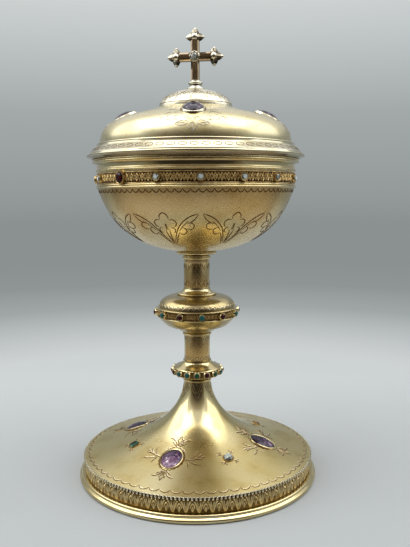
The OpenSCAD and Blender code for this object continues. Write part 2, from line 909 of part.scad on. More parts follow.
module lid_cap() {
    color(gilt)
        lathe(concat([[cap_r - sheet_t, dome_top_z], [cap_r, dome_top_z]], cap_out,
                     [[stud_bore, cap_top_z], [stud_bore, cap_top_z - sheet_t]], reversed(cap_in)));
}

module lid_amethyst_collets() {
    color(bright_gilt)
        difference() {
            lid_gem_places() oval_collet(lid_gem_l, lid_gem_w);
            translate([0, 0, solder_film]) dome_core();
        }
}

module lid_amethysts() {
    color(amethyst_purple) lid_gem_places() oval_stone(lid_gem_l, lid_gem_w);
}

// Finial, with the cross built facing -Y and then turned to its azimuth
module finial_base() {
    plinth_h = finial_base_h * 0.22;
    waist_in = 1.4;
    waist_h = 0.2;
    bead_z = cap_top_z + finial_base_h * 0.32;
    bead_h = finial_base_h * 0.26;
    bead_in = 0.7;
    bead_r = finial_base_r - bead_in;
    top_r = bar_w * 0.56;
    top_h = 0.8;
    color(bright_gilt)
        lathe(concat([[stud_bore, cap_top_z]],
                     arc([finial_base_r - plinth_h / 2, cap_top_z + plinth_h / 2], plinth_h / 2, -90, 90),
                     [[finial_base_r - waist_in, bead_z - waist_h]],
                     arc([bead_r - bead_h / 2, bead_z + bead_h / 2], bead_h / 2, -90, 90),
                     [[top_r, cross_z - top_h], [top_r, cross_z], [stud_bore, cross_z]]));
}

module on_finial() {
    translate([0, 0, cross_z]) rotate([0, 0, cross_azimuth]) children();
}

// Bar of octagonal section, standing on z = 0
module bar(l) {
    half = bar_w / 2;
    flat = half - bar_w * 0.28;
    linear_extrude(l)
        polygon([[half, flat], [flat, half], [-flat, half], [-half, flat],
                 [-half, -flat], [-flat, -half], [flat, -half], [half, -flat]]);
}

bud_r = 1.7;
fleuron_t = 3;
bar_gap = 0.2;
bar_reach = fleuron_at - bud_r - bar_gap;
tang_over = 0.5;

// Flat fleuron about the origin, its tip along +X: three pointed leaves on a short tang
module fleuron_outline() {
    half = leaf_l * 0.33;
    root = half * 0.7;
    shoulder = half * 0.8;
    belly_at = leaf_l * 0.3;
    shoulder_at = leaf_l * 0.62;
    leaf = [[0, -root], [belly_at, -half], [shoulder_at, -shoulder], [leaf_l, 0],
            [shoulder_at, shoulder], [belly_at, half], [0, root]];
    for (turn = [-90, 0, 90])
        rotate([0, 0, turn]) polygon(leaf);
    translate([-fleuron_at / 2, -root]) square([fleuron_at / 2 + tang_over, 2 * root]);
}

// Directions of the three arms that end in a fleuron, from the crossing
arm_turns = [0, 90, 180];

module on_arms() {
    for (turn = arm_turns)
        translate([0, 0, crossing_h])
            rotate([0, -turn, 0])
                translate([fleuron_at, 0, 0])
                    children();
}

module cross() {
    color(gilt)
        on_finial()
            difference() {
                union() {
                    bar(crossing_h + bar_reach);
                    translate([-bar_reach, 0, crossing_h]) rotate([0, 90, 0]) bar(2 * bar_reach);
                    on_arms()
                        rotate([90, 0, 0])
                            translate([0, 0, -fleuron_t / 2])
                                linear_extrude(fleuron_t)
                                    fleuron_outline();
                }
                translate([0, 0, -cut_over])
                    cylinder(r = stud_r + thread_fit, h = stud_reach + cut_over, $fn = round_fn);
            }
}

// A bud on the front and the back of each fleuron, flat where it is soldered on
module cross_buds() {
    sink = bud_r * 0.5;
    color(bright_gilt)
        on_finial()
            on_arms()
                for (side = [-1, 1])
                    translate([0, side * (fleuron_t / 2 + bud_r - sink), 0])
                        difference() {
                            sphere(r = bud_r, $fn = small_fn);
                            translate([-bud_r, side > 0 ? -2 * bud_r + sink - bud_r : bud_r - sink, -bud_r])
                                cube(2 * bud_r);
                        }
}

module on_crossing() {
    on_finial() translate([0, -bar_w / 2, crossing_h]) rotate([90, 0, 0]) children();
}

module cross_setting() {
    wall = 1;
    wall_h = 0.9;
    color(bright_gilt)
        on_crossing()
            difference() {
                cylinder(r = cross_gem_r + wall, h = small_bed + wall_h, $fn = round_fn);
                translate([0, 0, small_bed])
                    cylinder(r = cross_gem_r + stone_fit, h = wall_h + cut_over, $fn = round_fn);
            }
}

module cross_stone() {
    color(clear_white) on_crossing() translate([0, 0, small_bed]) brilliant(cross_gem_r);
}

module finial_stud() {
    low_z = stud_nut_z - stud_end;
    top_z = cross_z + stud_reach - stud_end_room;
    color(steel) translate([0, 0, low_z]) cylinder(r = stud_r, h = top_z - low_z, $fn = round_fn);
}

module finial_washer() {
    color(steel)
        translate([0, 0, stud_washer_z])
            difference() {
                cylinder(r = stud_nut_flats / 2 + stud_washer_over, h = stud_washer_h, $fn = round_fn);
                translate([0, 0, -cut_over])
                    cylinder(r = stud_bore, h = stud_washer_h + 2 * cut_over, $fn = round_fn);
            }
}

module finial_nut() {
    color(steel) translate([0, 0, stud_nut_z]) hex_nut(stud_nut_flats, stud_nut_h, stud_r + thread_fit);
}

foot_ring();
foot_gallery();
foot_bead_wire();
foot_trumpet();
foot_amethyst_collets();
foot_amethysts();
foot_small_collets();
foot_emerald();
foot_crystal();
foot_citrine();
foot_garnet();
neck_ring();
jewel_collar();
collar_collets();
collar_turquoises();
collar_emeralds();
collar_garnets();
lower_stem();
knop_foot_ring();
knop_lower_shell();
knop_girdle();
knop_upper_shell();
knop_collets();
knop_turquoises();
knop_garnets();
knop_collar();
upper_stem();
bowl_seat();
tie_rod();
bowl_socket();
foot_washer();
foot_nut();
bowl_shell();
band_lower_wire();
jewel_band();
band_upper_wire();
bowl_lip();
band_collets();
band_garnets();
band_white_stones();
lid_flange();
lid_brim();
lid_dome();
lid_cap();
lid_amethyst_collets();
lid_amethysts();
finial_base();
cross();
cross_buds();
cross_setting();
cross_stone();
finial_stud();
finial_washer();
finial_nut();
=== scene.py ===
"""A covered cup in engraved silver-gilt, set with stones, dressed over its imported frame."""

import math
import random

import bmesh
import bpy
from mathutils import Matrix, Vector


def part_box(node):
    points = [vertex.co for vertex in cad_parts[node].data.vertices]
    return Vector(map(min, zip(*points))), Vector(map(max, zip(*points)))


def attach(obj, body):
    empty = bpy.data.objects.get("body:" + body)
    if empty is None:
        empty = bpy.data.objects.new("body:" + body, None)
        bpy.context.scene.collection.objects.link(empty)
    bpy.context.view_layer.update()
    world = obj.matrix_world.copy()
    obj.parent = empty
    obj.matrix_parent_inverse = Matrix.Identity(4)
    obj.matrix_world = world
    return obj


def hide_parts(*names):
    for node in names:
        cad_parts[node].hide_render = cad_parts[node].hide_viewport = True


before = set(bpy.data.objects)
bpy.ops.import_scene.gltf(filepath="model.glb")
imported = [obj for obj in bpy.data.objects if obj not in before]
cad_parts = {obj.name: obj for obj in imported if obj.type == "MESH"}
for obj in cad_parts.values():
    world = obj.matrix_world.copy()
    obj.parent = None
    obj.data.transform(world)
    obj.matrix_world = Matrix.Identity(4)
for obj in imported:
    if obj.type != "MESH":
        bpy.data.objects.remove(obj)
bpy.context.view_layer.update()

MM = 0.001
# Steps round a turned piece, and the radius in mm of the circle that its section is swept along
TURN_STEPS = 256
BENCH = 1.0
# Thickness in mm of the sheet and of the bowl's wall
SHEET = 1.2
BOWL_WALL = 1.3
# How far in mm a burnisher takes corners off, and the angle from which an edge is shaded sharp
EASE = 0.18
EDGE_ANGLE = math.radians(32)


# Sizes read from the frame
def reach(node):
    """Outer radius, foot level and top level of a turned node, in mm."""
    low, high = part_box(node)
    return high.x / MM, low.z / MM, high.z / MM


# Outlines in radius and level
def curve(start, end, lead, tail, steps=56):
    """A cubic curve; lead and tail are its handles, as shares of the span."""
    span = (end[0] - start[0], end[1] - start[1])
    a = (start[0] + lead[0] * span[0], start[1] + lead[1] * span[1])
    b = (end[0] - tail[0] * span[0], end[1] - tail[1] * span[1])
    points = []
    for i in range(steps + 1):
        t = i / steps
        s = 1 - t
        shares = (s ** 3, 3 * s * s * t, 3 * s * t * t, t ** 3)
        points.append(tuple(sum(w * p[axis] for w, p in zip(shares, (start, a, b, end))) for axis in (0, 1)))
    return points


def arc(centre, radius, start, end, steps=10):
    """Points on a circle between two angles in degrees."""
    turns = [math.radians(start + (end - start) * i / steps) for i in range(steps + 1)]
    return [(centre[0] + radius * math.cos(a), centre[1] + radius * math.sin(a)) for a in turns]


def round_edge(outer, low, height, start=-90, end=90):
    """The round outer edge of a bead or a wire, from its outer radius, foot level and height."""
    half = height / 2
    return arc((outer - half, low + half), half, start, end)


def plain_ring(inner, outer, low, high):
    """Section of a plain ring or tube."""
    return [(inner, low), (outer, low), (outer, high), (inner, high)]


def eased(section, ease=EASE):
    """The section with its sharp corners taken off, as a burnisher leaves them."""
    points = []
    count = len(section)
    for i, here in enumerate(section):
        before = Vector(section[i - 1]) - Vector(here)
        after = Vector(section[(i + 1) % count]) - Vector(here)
        if before.length < 1e-6 or after.length < 1e-6:
            continue
        if before.angle(after) > math.radians(150) or here[0] < 1e-6:
            points.append(here)
            continue
        cut_before = Vector(here) + before.normalized() * min(ease, before.length * 0.4)
        cut_after = Vector(here) + after.normalized() * min(ease, after.length * 0.4)
        middle = (cut_before + cut_after) / 4 + Vector(here) / 2
        points.extend([tuple(cut_before), tuple(middle), tuple(cut_after)])
    return points


class Skin:
    """The outer face of a turned piece, for setting things on it."""

    def __init__(self, outline):
        self.outline = outline
        self.lengths = [0.0]
        for p, q in zip(outline, outline[1:]):
            self.lengths.append(self.lengths[-1] + math.dist(p, q))

    def between(self, along):
        """Index of the outline's step at a length along it, and the share of that step."""
        for i in range(len(self.lengths) - 1):
            if along <= self.lengths[i + 1] or i == len(self.lengths) - 2:
                return i, (along - self.lengths[i]) / (self.lengths[i + 1] - self.lengths[i])

    def along(self, axis, value):
        """Length along the outline where its radius (0) or level (1) has a value."""
        for i, (p, q) in enumerate(zip(self.outline, self.outline[1:])):
            if min(p[axis], q[axis]) <= value <= max(p[axis], q[axis]) and p[axis] != q[axis]:
                share = (value - p[axis]) / (q[axis] - p[axis])
                return self.lengths[i] + share * (self.lengths[i + 1] - self.lengths[i])
        return self.lengths[-1]

    def level(self, radius):
        """Level of the outline at a radius."""
        i, share = self.between(self.along(0, radius))
        return self.outline[i][1] + (self.outline[i + 1][1] - self.outline[i][1]) * share

    def slope(self, i):
        """The way out of the metal at a step of the outline, as (radius, level)."""
        p = self.outline[i]
        q = self.outline[i + 1]
        return Vector((q[1] - p[1], p[0] - q[0])).normalized()

    def spot(self, azimuth, along):
        """Point and outward normal at an azimuth in degrees and a length along the outline."""
        i, share = self.between(along)
        p = Vector(self.outline[i])
        q = Vector(self.outline[i + 1])
        r, z = p + (q - p) * share
        last = len(self.outline) - 2
        near = self.slope(i)
        other = self.slope(min(last, i + 1) if share > 0.5 else max(0, i - 1))
        out = near.lerp(other, abs(share - 0.5)).normalized()
        a = math.radians(azimuth)
        point = Vector((r * math.sin(a), -r * math.cos(a), z))
        return point, Vector((out[0] * math.sin(a), -out[0] * math.cos(a), out[1]))

    def by_level(self):
        """A place finder that takes degrees round and a level."""
        return lambda turn, level: self.spot(turn, self.along(1, level))

    def by_length(self, start):
        """A place finder that takes mm across and mm along from a start length."""
        def find(across, along):
            length = start + along
            i, share = self.between(length)
            r = self.outline[i][0] + (self.outline[i + 1][0] - self.outline[i][0]) * share
            return self.spot(math.degrees(across / r), length)
        return find

    def seat(self, along, lift=0.0):
        """Frame for a setting at the front: local Z out of the metal, local Y up the outline."""
        point, out = self.spot(0, along)
        up = Vector((0, out.z, -out.y))
        across = up.cross(out)
        turn = Matrix((across, up, out)).transposed().to_4x4()
        return Matrix.Translation(point + out * lift) @ turn


def spline(path, closed=False, steps=5):
    """A smooth line through the points of a path."""
    count = len(path)
    if count < 3:
        return [Vector(p) for p in path]
    points = []
    for i in range(count if closed else count - 1):
        near = [path[j % count] if closed else path[min(max(j, 0), count - 1)] for j in range(i - 1, i + 3)]
        a, b, c, d = [Vector(p) for p in near]
        for k in range(steps):
            t = k / steps
            points.append(0.5 * (2 * b + (c - a) * t + (2 * a - 5 * b + 4 * c - d) * t * t
                                 + (3 * b - a - 3 * c + d) * t ** 3))
    if not closed:
        points.append(Vector(path[-1]))
    return points


def swing(degrees, axis="Z"):
    """A turn about an axis."""
    return Matrix.Rotation(math.radians(degrees), 4, axis)


# Nodes and colours
def linear(colour):
    """Linear RGBA of an sRGB hex colour."""
    channels = [int(colour[i:i + 2], 16) / 255 for i in (1, 3, 5)]
    return tuple(c / 12.92 if c <= 0.04045 else ((c + 0.055) / 1.055) ** 2.4 for c in channels) + (1.0,)


def add(tree, kind, inputs=None, stops=(), **settings):
    """Adds a node with its settings. An input is a value, or a socket to link from; stops are the places
    and sRGB colours of a ramp."""
    node = tree.nodes.new(kind)
    for key, value in settings.items():
        setattr(node, key, value)
    for i, (place, colour) in enumerate(stops):
        band = node.color_ramp.elements
        element = band[i] if i < len(band) else band.new(1.0)
        element.position = place
        element.color = linear(colour)
    for key, value in (inputs or {}).items():
        if isinstance(value, bpy.types.NodeSocket):
            tree.links.new(value, node.inputs[key])
        else:
            node.inputs[key].default_value = value
    return node


def fresh(name):
    """A new material with an empty tree."""
    material = bpy.data.materials.new(name)
    material.use_nodes = True
    material.node_tree.nodes.clear()
    return material, material.node_tree


def round_axis(tree, pitch, drift):
    """Coordinates for marks that run round the axis: fine up the outline, slow round it."""
    place = add(tree, "ShaderNodeTexCoord").outputs["Object"]
    parts = add(tree, "ShaderNodeSeparateXYZ", {"Vector": place})
    flat = add(tree, "ShaderNodeCombineXYZ", {"X": parts.outputs["X"], "Y": parts.outputs["Y"]})
    radius = add(tree, "ShaderNodeVectorMath", {0: flat.outputs["Vector"]}, operation="LENGTH")
    way = add(tree, "ShaderNodeVectorMath", {0: flat.outputs["Vector"]}, operation="NORMALIZE")
    slow = add(tree, "ShaderNodeVectorMath", {0: way.outputs["Vector"], 1: (drift, drift * 0.6, 0)},
               operation="DOT_PRODUCT")
    fine = 1 / (pitch * MM)
    across = add(tree, "ShaderNodeMath", {0: radius.outputs["Value"], 1: fine}, operation="MULTIPLY")
    up = add(tree, "ShaderNodeMath", {0: parts.outputs["Z"], 1: fine}, operation="MULTIPLY")
    spread = add(tree, "ShaderNodeCombineXYZ", {"X": across.outputs["Value"], "Y": up.outputs["Value"],
                                                "Z": slow.outputs["Value"]})
    return place, spread.outputs["Vector"]


# Finishes
def satin_gilt(name, thin, thick, stain, gloss=(0.22, 0.32), matt=None):
    """Silver gilded and then scratch-brushed on the lathe: a fine frosted grain, soft reflections that
    spread across the brushing, warmer where the gilding is thick, and brown clouds where hands do not rub
    it. The grain is drawn at 0.6 mm, coarser than the real one, so that it shows in the picture. Gloss is
    the range of roughness; matt is the radius in mm where the metal starts to dull, the radius where it is
    dullest, and the roughness gained."""
    material, tree = fresh(name)
    place, brushed = round_axis(tree, 0.8, 9.0)
    warm = add(tree, "ShaderNodeTexNoise", {"Vector": place, "Scale": 1 / (30 * MM), "Detail": 2.0})
    frost = add(tree, "ShaderNodeTexNoise", {"Vector": place, "Scale": 1 / (0.6 * MM), "Detail": 1.0})
    lines = add(tree, "ShaderNodeTexNoise", {"Vector": brushed, "Scale": 1.0, "Detail": 1.0})
    cloud = add(tree, "ShaderNodeTexNoise", {"Vector": place, "Scale": 1 / (15 * MM), "Detail": 5.0,
                                             "Roughness": 0.62})
    gilding = add(tree, "ShaderNodeValToRGB", {"Fac": warm.outputs["Fac"]}, ((0.32, thin), (0.7, thick)))
    speck = add(tree, "ShaderNodeValToRGB", {"Fac": frost.outputs["Fac"]},
                ((0.28, "#E8E3D8"), (0.72, "#FFFFFF")))
    brown = add(tree, "ShaderNodeValToRGB", {"Fac": cloud.outputs["Fac"]}, ((0.5, "#FFFFFF"), (0.72, stain)))
    worn = add(tree, "ShaderNodeMix", {"Factor": 0.65, "A": gilding.outputs["Color"],
                                       "B": speck.outputs["Color"]}, data_type="RGBA", blend_type="MULTIPLY")
    tone = add(tree, "ShaderNodeMix", {"Factor": 0.5, "A": worn.outputs["Result"],
                                       "B": brown.outputs["Color"]}, data_type="RGBA", blend_type="MULTIPLY")
    rough = add(tree, "ShaderNodeMapRange", {"Value": frost.outputs["Fac"], "To Min": gloss[0],
                                             "To Max": gloss[1]}).outputs["Result"]
    if matt:
        start, dullest, gain = matt
        flat = add(tree, "ShaderNodeVectorMath", {0: place, 1: (1, 1, 0)}, operation="MULTIPLY")
        out = add(tree, "ShaderNodeVectorMath", {0: flat.outputs["Vector"]}, operation="LENGTH")
        dull = add(tree, "ShaderNodeMapRange", {"Value": out.outputs["Value"], "From Min": start * MM,
                                                "From Max": dullest * MM, "To Max": gain})
        rough = add(tree, "ShaderNodeMath", {0: rough, 1: dull.outputs["Result"]},
                    operation="ADD").outputs["Value"]
    marks = add(tree, "ShaderNodeMath", {0: frost.outputs["Fac"], 1: 0.3, 2: lines.outputs["Fac"]},
                operation="MULTIPLY_ADD")
    bump = add(tree, "ShaderNodeBump", {"Strength": 0.05, "Distance": 0.06 * MM,
                                        "Height": marks.outputs["Value"]})
    tangent = add(tree, "ShaderNodeTangent", direction_type="RADIAL", axis="Z")
    shader = add(tree, "ShaderNodeBsdfPrincipled", {
        "Base Color": tone.outputs["Result"], "Roughness": rough, "Normal": bump.outputs["Normal"],
        "Tangent": tangent.outputs["Tangent"], "Metallic": 1.0, "Anisotropic": 0.4,
        "Anisotropic Rotation": 0.25})
    add(tree, "ShaderNodeOutputMaterial", {"Surface": shader.outputs["BSDF"]})
    return material


def bright_gilt(name, thick, thin):
    """Silver gilded and burnished: clear reflections, hair scratches, and paler clouds where the gilding
    has worn thin."""
    material, tree = fresh(name)
    place, brushed = round_axis(tree, 1.6, 3.0)
    cloud = add(tree, "ShaderNodeTexNoise", {"Vector": place, "Scale": 1 / (9 * MM), "Detail": 3.0})
    hairs = add(tree, "ShaderNodeTexNoise", {"Vector": brushed, "Scale": 1.0, "Detail": 3.0})
    tone = add(tree, "ShaderNodeValToRGB", {"Fac": cloud.outputs["Fac"]}, ((0.3, thick), (0.72, thin)))
    gloss = add(tree, "ShaderNodeMapRange", {"Value": hairs.outputs["Fac"], "To Min": 0.1, "To Max": 0.22})
    bump = add(tree, "ShaderNodeBump", {"Strength": 0.06, "Distance": 0.04 * MM,
                                        "Height": hairs.outputs["Fac"]})
    shader = add(tree, "ShaderNodeBsdfPrincipled", {
        "Base Color": tone.outputs["Color"], "Roughness": gloss.outputs["Result"],
        "Normal": bump.outputs["Normal"], "Metallic": 1.0})
    add(tree, "ShaderNodeOutputMaterial", {"Surface": shader.outputs["BSDF"]})
    return material


def browned_and_shaded_gilt(name, dark, mid, pale):
    """Gilding left matt and browned behind raised work, and darker there as painted shade: a dull ground in
    brown clouds, finely pitted.
    """
    material, tree = fresh(name)
    place = add(tree, "ShaderNodeTexCoord").outputs["Object"]
    cloud = add(tree, "ShaderNodeTexNoise", {"Vector": place, "Scale": 1 / (2.2 * MM), "Detail": 4.0})
    pits = add(tree, "ShaderNodeTexNoise", {"Vector": place, "Scale": 1 / (0.6 * MM), "Detail": 1.0})
    tone = add(tree, "ShaderNodeValToRGB", {"Fac": cloud.outputs["Fac"]},
               ((0.3, dark), (0.62, mid), (0.8, pale)))
    gloss = add(tree, "ShaderNodeMapRange", {"Value": cloud.outputs["Fac"], "To Min": 0.5, "To Max": 0.34})
    bump = add(tree, "ShaderNodeBump", {"Strength": 0.3, "Distance": 0.1 * MM, "Height": pits.outputs["Fac"]})
    shader = add(tree, "ShaderNodeBsdfPrincipled", {
        "Base Color": tone.outputs["Color"], "Roughness": gloss.outputs["Result"],
        "Normal": bump.outputs["Normal"], "Metallic": 1.0})
    add(tree, "ShaderNodeOutputMaterial", {"Surface": shader.outputs["BSDF"]})
    return material


def cut_metal(name, dark, pale, rough):
    """Small work, cut or raised: for the eye a thin line that goes from dark to pale in small clouds."""
    material, tree = fresh(name)
    place = add(tree, "ShaderNodeTexCoord").outputs["Object"]
    cloud = add(tree, "ShaderNodeTexNoise", {"Vector": place, "Scale": 1 / (1.8 * MM), "Detail": 2.0})
    tone = add(tree, "ShaderNodeValToRGB", {"Fac": cloud.outputs["Fac"]}, ((0.34, dark), (0.66, pale)))
    gloss = add(tree, "ShaderNodeMapRange", {"Value": cloud.outputs["Fac"], "To Min": rough,
                                             "To Max": rough * 1.5})
    shader = add(tree, "ShaderNodeBsdfPrincipled", {
        "Base Color": tone.outputs["Color"], "Roughness": gloss.outputs["Result"], "Metallic": 1.0})
    add(tree, "ShaderNodeOutputMaterial", {"Surface": shader.outputs["BSDF"]})
    return material


def stone(name, stops, rough, ior, sheen=0.25):
    """A cut stone: each facet has a painted tone of its own that stands for the light inside it. Sheen is how
    strongly its surface mirrors."""
    material, tree = fresh(name)
    place = add(tree, "ShaderNodeTexCoord").outputs["Object"]
    facet = add(tree, "ShaderNodeAttribute", attribute_name="facet", attribute_type="GEOMETRY")
    cloud = add(tree, "ShaderNodeTexNoise", {"Vector": place, "Scale": 1 / (1.1 * MM), "Detail": 2.0})
    drift = add(tree, "ShaderNodeMapRange", {"Value": cloud.outputs["Fac"], "To Min": -0.14, "To Max": 0.14})
    mixed = add(tree, "ShaderNodeMath", {0: facet.outputs["Fac"], 1: drift.outputs["Result"]},
                operation="ADD", use_clamp=True)
    tone = add(tree, "ShaderNodeValToRGB", {"Fac": mixed.outputs["Value"]}, stops)
    shader = add(tree, "ShaderNodeBsdfPrincipled", {
        "Base Color": tone.outputs["Color"], "Roughness": rough, "IOR": ior, "Specular IOR Level": sheen})
    add(tree, "ShaderNodeOutputMaterial", {"Surface": shader.outputs["BSDF"]})
    return material


def turned_steel():
    """Plain turned steel for the fixings inside, with the tool's rings on it."""
    material, tree = fresh("turned_steel")
    place, ringed = round_axis(tree, 0.5, 1.5)
    lines = add(tree, "ShaderNodeTexNoise", {"Vector": ringed, "Scale": 1.0, "Detail": 2.0})
    cloud = add(tree, "ShaderNodeTexNoise", {"Vector": place, "Scale": 1 / (4 * MM), "Detail": 3.0})
    tone = add(tree, "ShaderNodeValToRGB", {"Fac": cloud.outputs["Fac"]},
               ((0.3, "#7D7A74"), (0.7, "#A5A39D")))
    gloss = add(tree, "ShaderNodeMapRange", {"Value": lines.outputs["Fac"], "To Min": 0.28, "To Max": 0.5})
    shader = add(tree, "ShaderNodeBsdfPrincipled", {
        "Base Color": tone.outputs["Color"], "Roughness": gloss.outputs["Result"], "Metallic": 1.0})
    add(tree, "ShaderNodeOutputMaterial", {"Surface": shader.outputs["BSDF"]})
    return material


SATIN = satin_gilt("satin_silver_gilt", "#D4C49A", "#C9B27A", "#CDB284", (0.25, 0.3))
KNOP_SATIN = satin_gilt("worn_satin_silver_gilt", "#BBAE8A", "#AE9C6C", "#B7A27C", (0.23, 0.28))
FOOT_SATIN = satin_gilt("matt_satin_silver_gilt", "#D5C99E", "#CBB97E", "#D2BC90", (0.13, 0.2),
                        (12, 40, 0.17))
DOME_SATIN = satin_gilt("pale_satin_silver_gilt", "#D2CAAA", "#C9BE94", "#D3C6A0", (0.21, 0.3),
                        (36, 52, 0.04))
CAP_SATIN = satin_gilt("rubbed_satin_silver_gilt", "#DDD9C8", "#D5CDB2", "#DED6C0")
BRIGHT = bright_gilt("burnished_silver_gilt", "#C9B684", "#D6C9A0")
PALE_BRIGHT = bright_gilt("rubbed_burnished_silver_gilt", "#CFC5A4", "#DBD5C0")
BRIM_GILT = bright_gilt("worn_burnished_silver_gilt", "#BFB494", "#CEC6AC")
SILVERED = bright_gilt("gilding_worn_to_silver", "#AFA893", "#D3CFC2")
DARKENED = bright_gilt("darkened_silver_gilt", "#75644E", "#94836B")
TARNISHED = bright_gilt("tarnished_silver", "#6F6858", "#A8A18F")
# Both grounds are brown patina and painted shade, dark behind raised work and stones.
BROWN_PATINA_AND_SHADE = browned_and_shaded_gilt("browned_and_shaded_silver_gilt", "#564527", "#75603A", "#927C50")
DARK_PATINA_AND_SHADE = browned_and_shaded_gilt("oxidised_and_shaded_ground", "#352313", "#513922", "#705436")
# The dark and worn cuts also paint the shaded side of two-sided engraving, and the dark one paints the shadow
# round the large collets; the bright and pale cuts also paint the lit side as a highlight.
DARK_CUT = cut_metal("oxidised_and_shaded_engraving", "#4A3418", "#7A5A2C", 0.4)
WORN_AND_SHADED_CUT = cut_metal("worn_and_shaded_engraving", "#5E5036", "#958868", 0.38)
BRIGHT_CUT = cut_metal("bright_engraving_and_painted_highlight", "#C9AE72", "#FFF4D6", 0.2)
PALE_HIGHLIGHT_CUT = cut_metal("pale_painted_highlight_engraving", "#A69D82", "#E4DDC8", 0.28)
RUBBED = cut_metal("rubbed_relief", "#9C814E", "#CDB27A", 0.28)
BRIGHT_RELIEF = cut_metal("bright_relief", "#B39A66", "#E0CB98", 0.26)
STEEL = turned_steel()
AMETHYST = stone("cut_amethyst", ((0.0, "#140D16"), (0.3, "#41304A"), (0.55, "#7A5A74"), (0.78, "#B08EA4"),
                                  (1.0, "#F2E6EC")), 0.04, 1.54)
EMERALD = stone("cut_emerald", ((0.0, "#05150E"), (0.5, "#124029"), (1.0, "#5FAE86")), 0.05, 1.58)
CRYSTAL = stone("rock_crystal", ((0.0, "#22211B"), (0.35, "#62635A"), (0.65, "#A6AAA0"), (1.0, "#FAFCF8")),
                0.04, 1.55)
CITRINE = stone("cut_citrine", ((0.0, "#3A2A10"), (0.5, "#6E5426"), (1.0, "#C8A868")), 0.05, 1.55)
GARNET = stone("cut_garnet", ((0.0, "#120304"), (0.6, "#380A0B"), (1.0, "#7E201E")), 0.08, 1.76, 0.12)
TURQUOISE = stone("polished_turquoise", ((0.0, "#0A2A2A"), (0.5, "#1A524F"), (1.0, "#4E938A")), 0.2, 1.61,
                  0.16)


# Meshes built point by point
class Shape:
    """Points in mm, faces, and a tone for each face."""

    def __init__(self):
        self.points = []
        self.faces = []
        self.tones = []

    def extend(self, points, faces, tones=None):
        start = len(self.points)
        self.points.extend(Vector(p) for p in points)
        self.faces.extend(tuple(start + i for i in face) for face in faces)
        self.tones.extend(tones or [0.5] * len(faces))
        return self

    def moved(self, matrix):
        copy = Shape()
        return copy.extend([matrix @ p for p in self.points], self.faces, self.tones)

    def join(self, other):
        return self.extend(other.points, other.faces, other.tones)

    def mesh(self, name, flat=False):
        mesh = bpy.data.meshes.new(name)
        mesh.from_pydata([tuple(p * MM) for p in self.points], [], self.faces)
        tone = mesh.attributes.new("facet", "FLOAT", "FACE")
        tone.data.foreach_set("value", self.tones)
        tidy(mesh)
        if not flat:
            soften(mesh)
        return mesh


def tidy(mesh):
    """Merges doubles and turns every face outwards."""
    work = bmesh.new()
    work.from_mesh(mesh)
    bmesh.ops.remove_doubles(work, verts=work.verts, dist=0.0005 * MM)
    bmesh.ops.delete(work, geom=[e for e in work.edges if not e.link_faces], context="EDGES")
    bmesh.ops.recalc_face_normals(work, faces=work.faces)
    work.to_mesh(mesh)
    work.free()


def soften(mesh, angle=EDGE_ANGLE):
    """Smooth shading, with edges sharper than the angle kept sharp."""
    mesh.shade_smooth()
    mesh.set_sharp_from_angle(angle=angle)


def rings(outlines, closed=False):
    """Points and quads through a row of loops of equal count; closed joins the last to the first."""
    count = len(outlines[0])
    points = [p for loop in outlines for p in loop]
    faces = []
    rows = len(outlines) if closed else len(outlines) - 1
    for row in range(rows):
        low = row * count
        high = (row + 1) % len(outlines) * count
        for i in range(count):
            j = (i + 1) % count
            faces.append((low + i, low + j, high + j, high + i))
    return points, faces


def oval_ring(length, width, level, count, first=0.0):
    """Points round an oval whose length lies along Y; first is a share of a step."""
    turns = [2 * math.pi * (i + first) / count for i in range(count)]
    return [(width / 2 * math.cos(a), length / 2 * math.sin(a), level) for a in turns]


def cut_stone(length, width, girdle, crown, seed):
    """A brilliant on z = 0: girdle, sixteen lower facets, kites and a table. Its facet tones are painted
    light:
    dark round the girdle and pale in the middle."""
    draw = random.Random(seed)
    top = girdle + crown
    foot = oval_ring(length, width, 0, 16)
    belt = oval_ring(length, width, girdle, 16)
    middle = oval_ring(length * 0.8, width * 0.8, girdle + crown * 0.58, 8)
    table = oval_ring(length * 0.55, width * 0.55, top, 8, 0.5)
    points = foot + belt + middle + table
    faces = [tuple(reversed(range(16))), tuple(range(40, 48))]
    for i in range(16):
        j = (i + 1) % 16
        faces.append((i, j, 16 + j, 16 + i))
    for i in range(8):
        j = (i + 1) % 8
        before = 16 + (2 * i - 1) % 16
        here = 16 + 2 * i
        after = 16 + 2 * i + 1
        faces.append((before, here, 32 + i))
        faces.append((here, after, 32 + i))
        faces.append((after, 32 + j, 40 + i, 32 + i))
        faces.append((32 + j, 40 + j, 40 + i))
    tones = []
    for face in faces:
        rise = sum(points[i][2] for i in face) / len(face) / top
        tones.append(rise * (0.25 + 0.75 * draw.random()) if rise > 0.6 else 0.3 * draw.random())
    return Shape().extend(points, faces, tones)


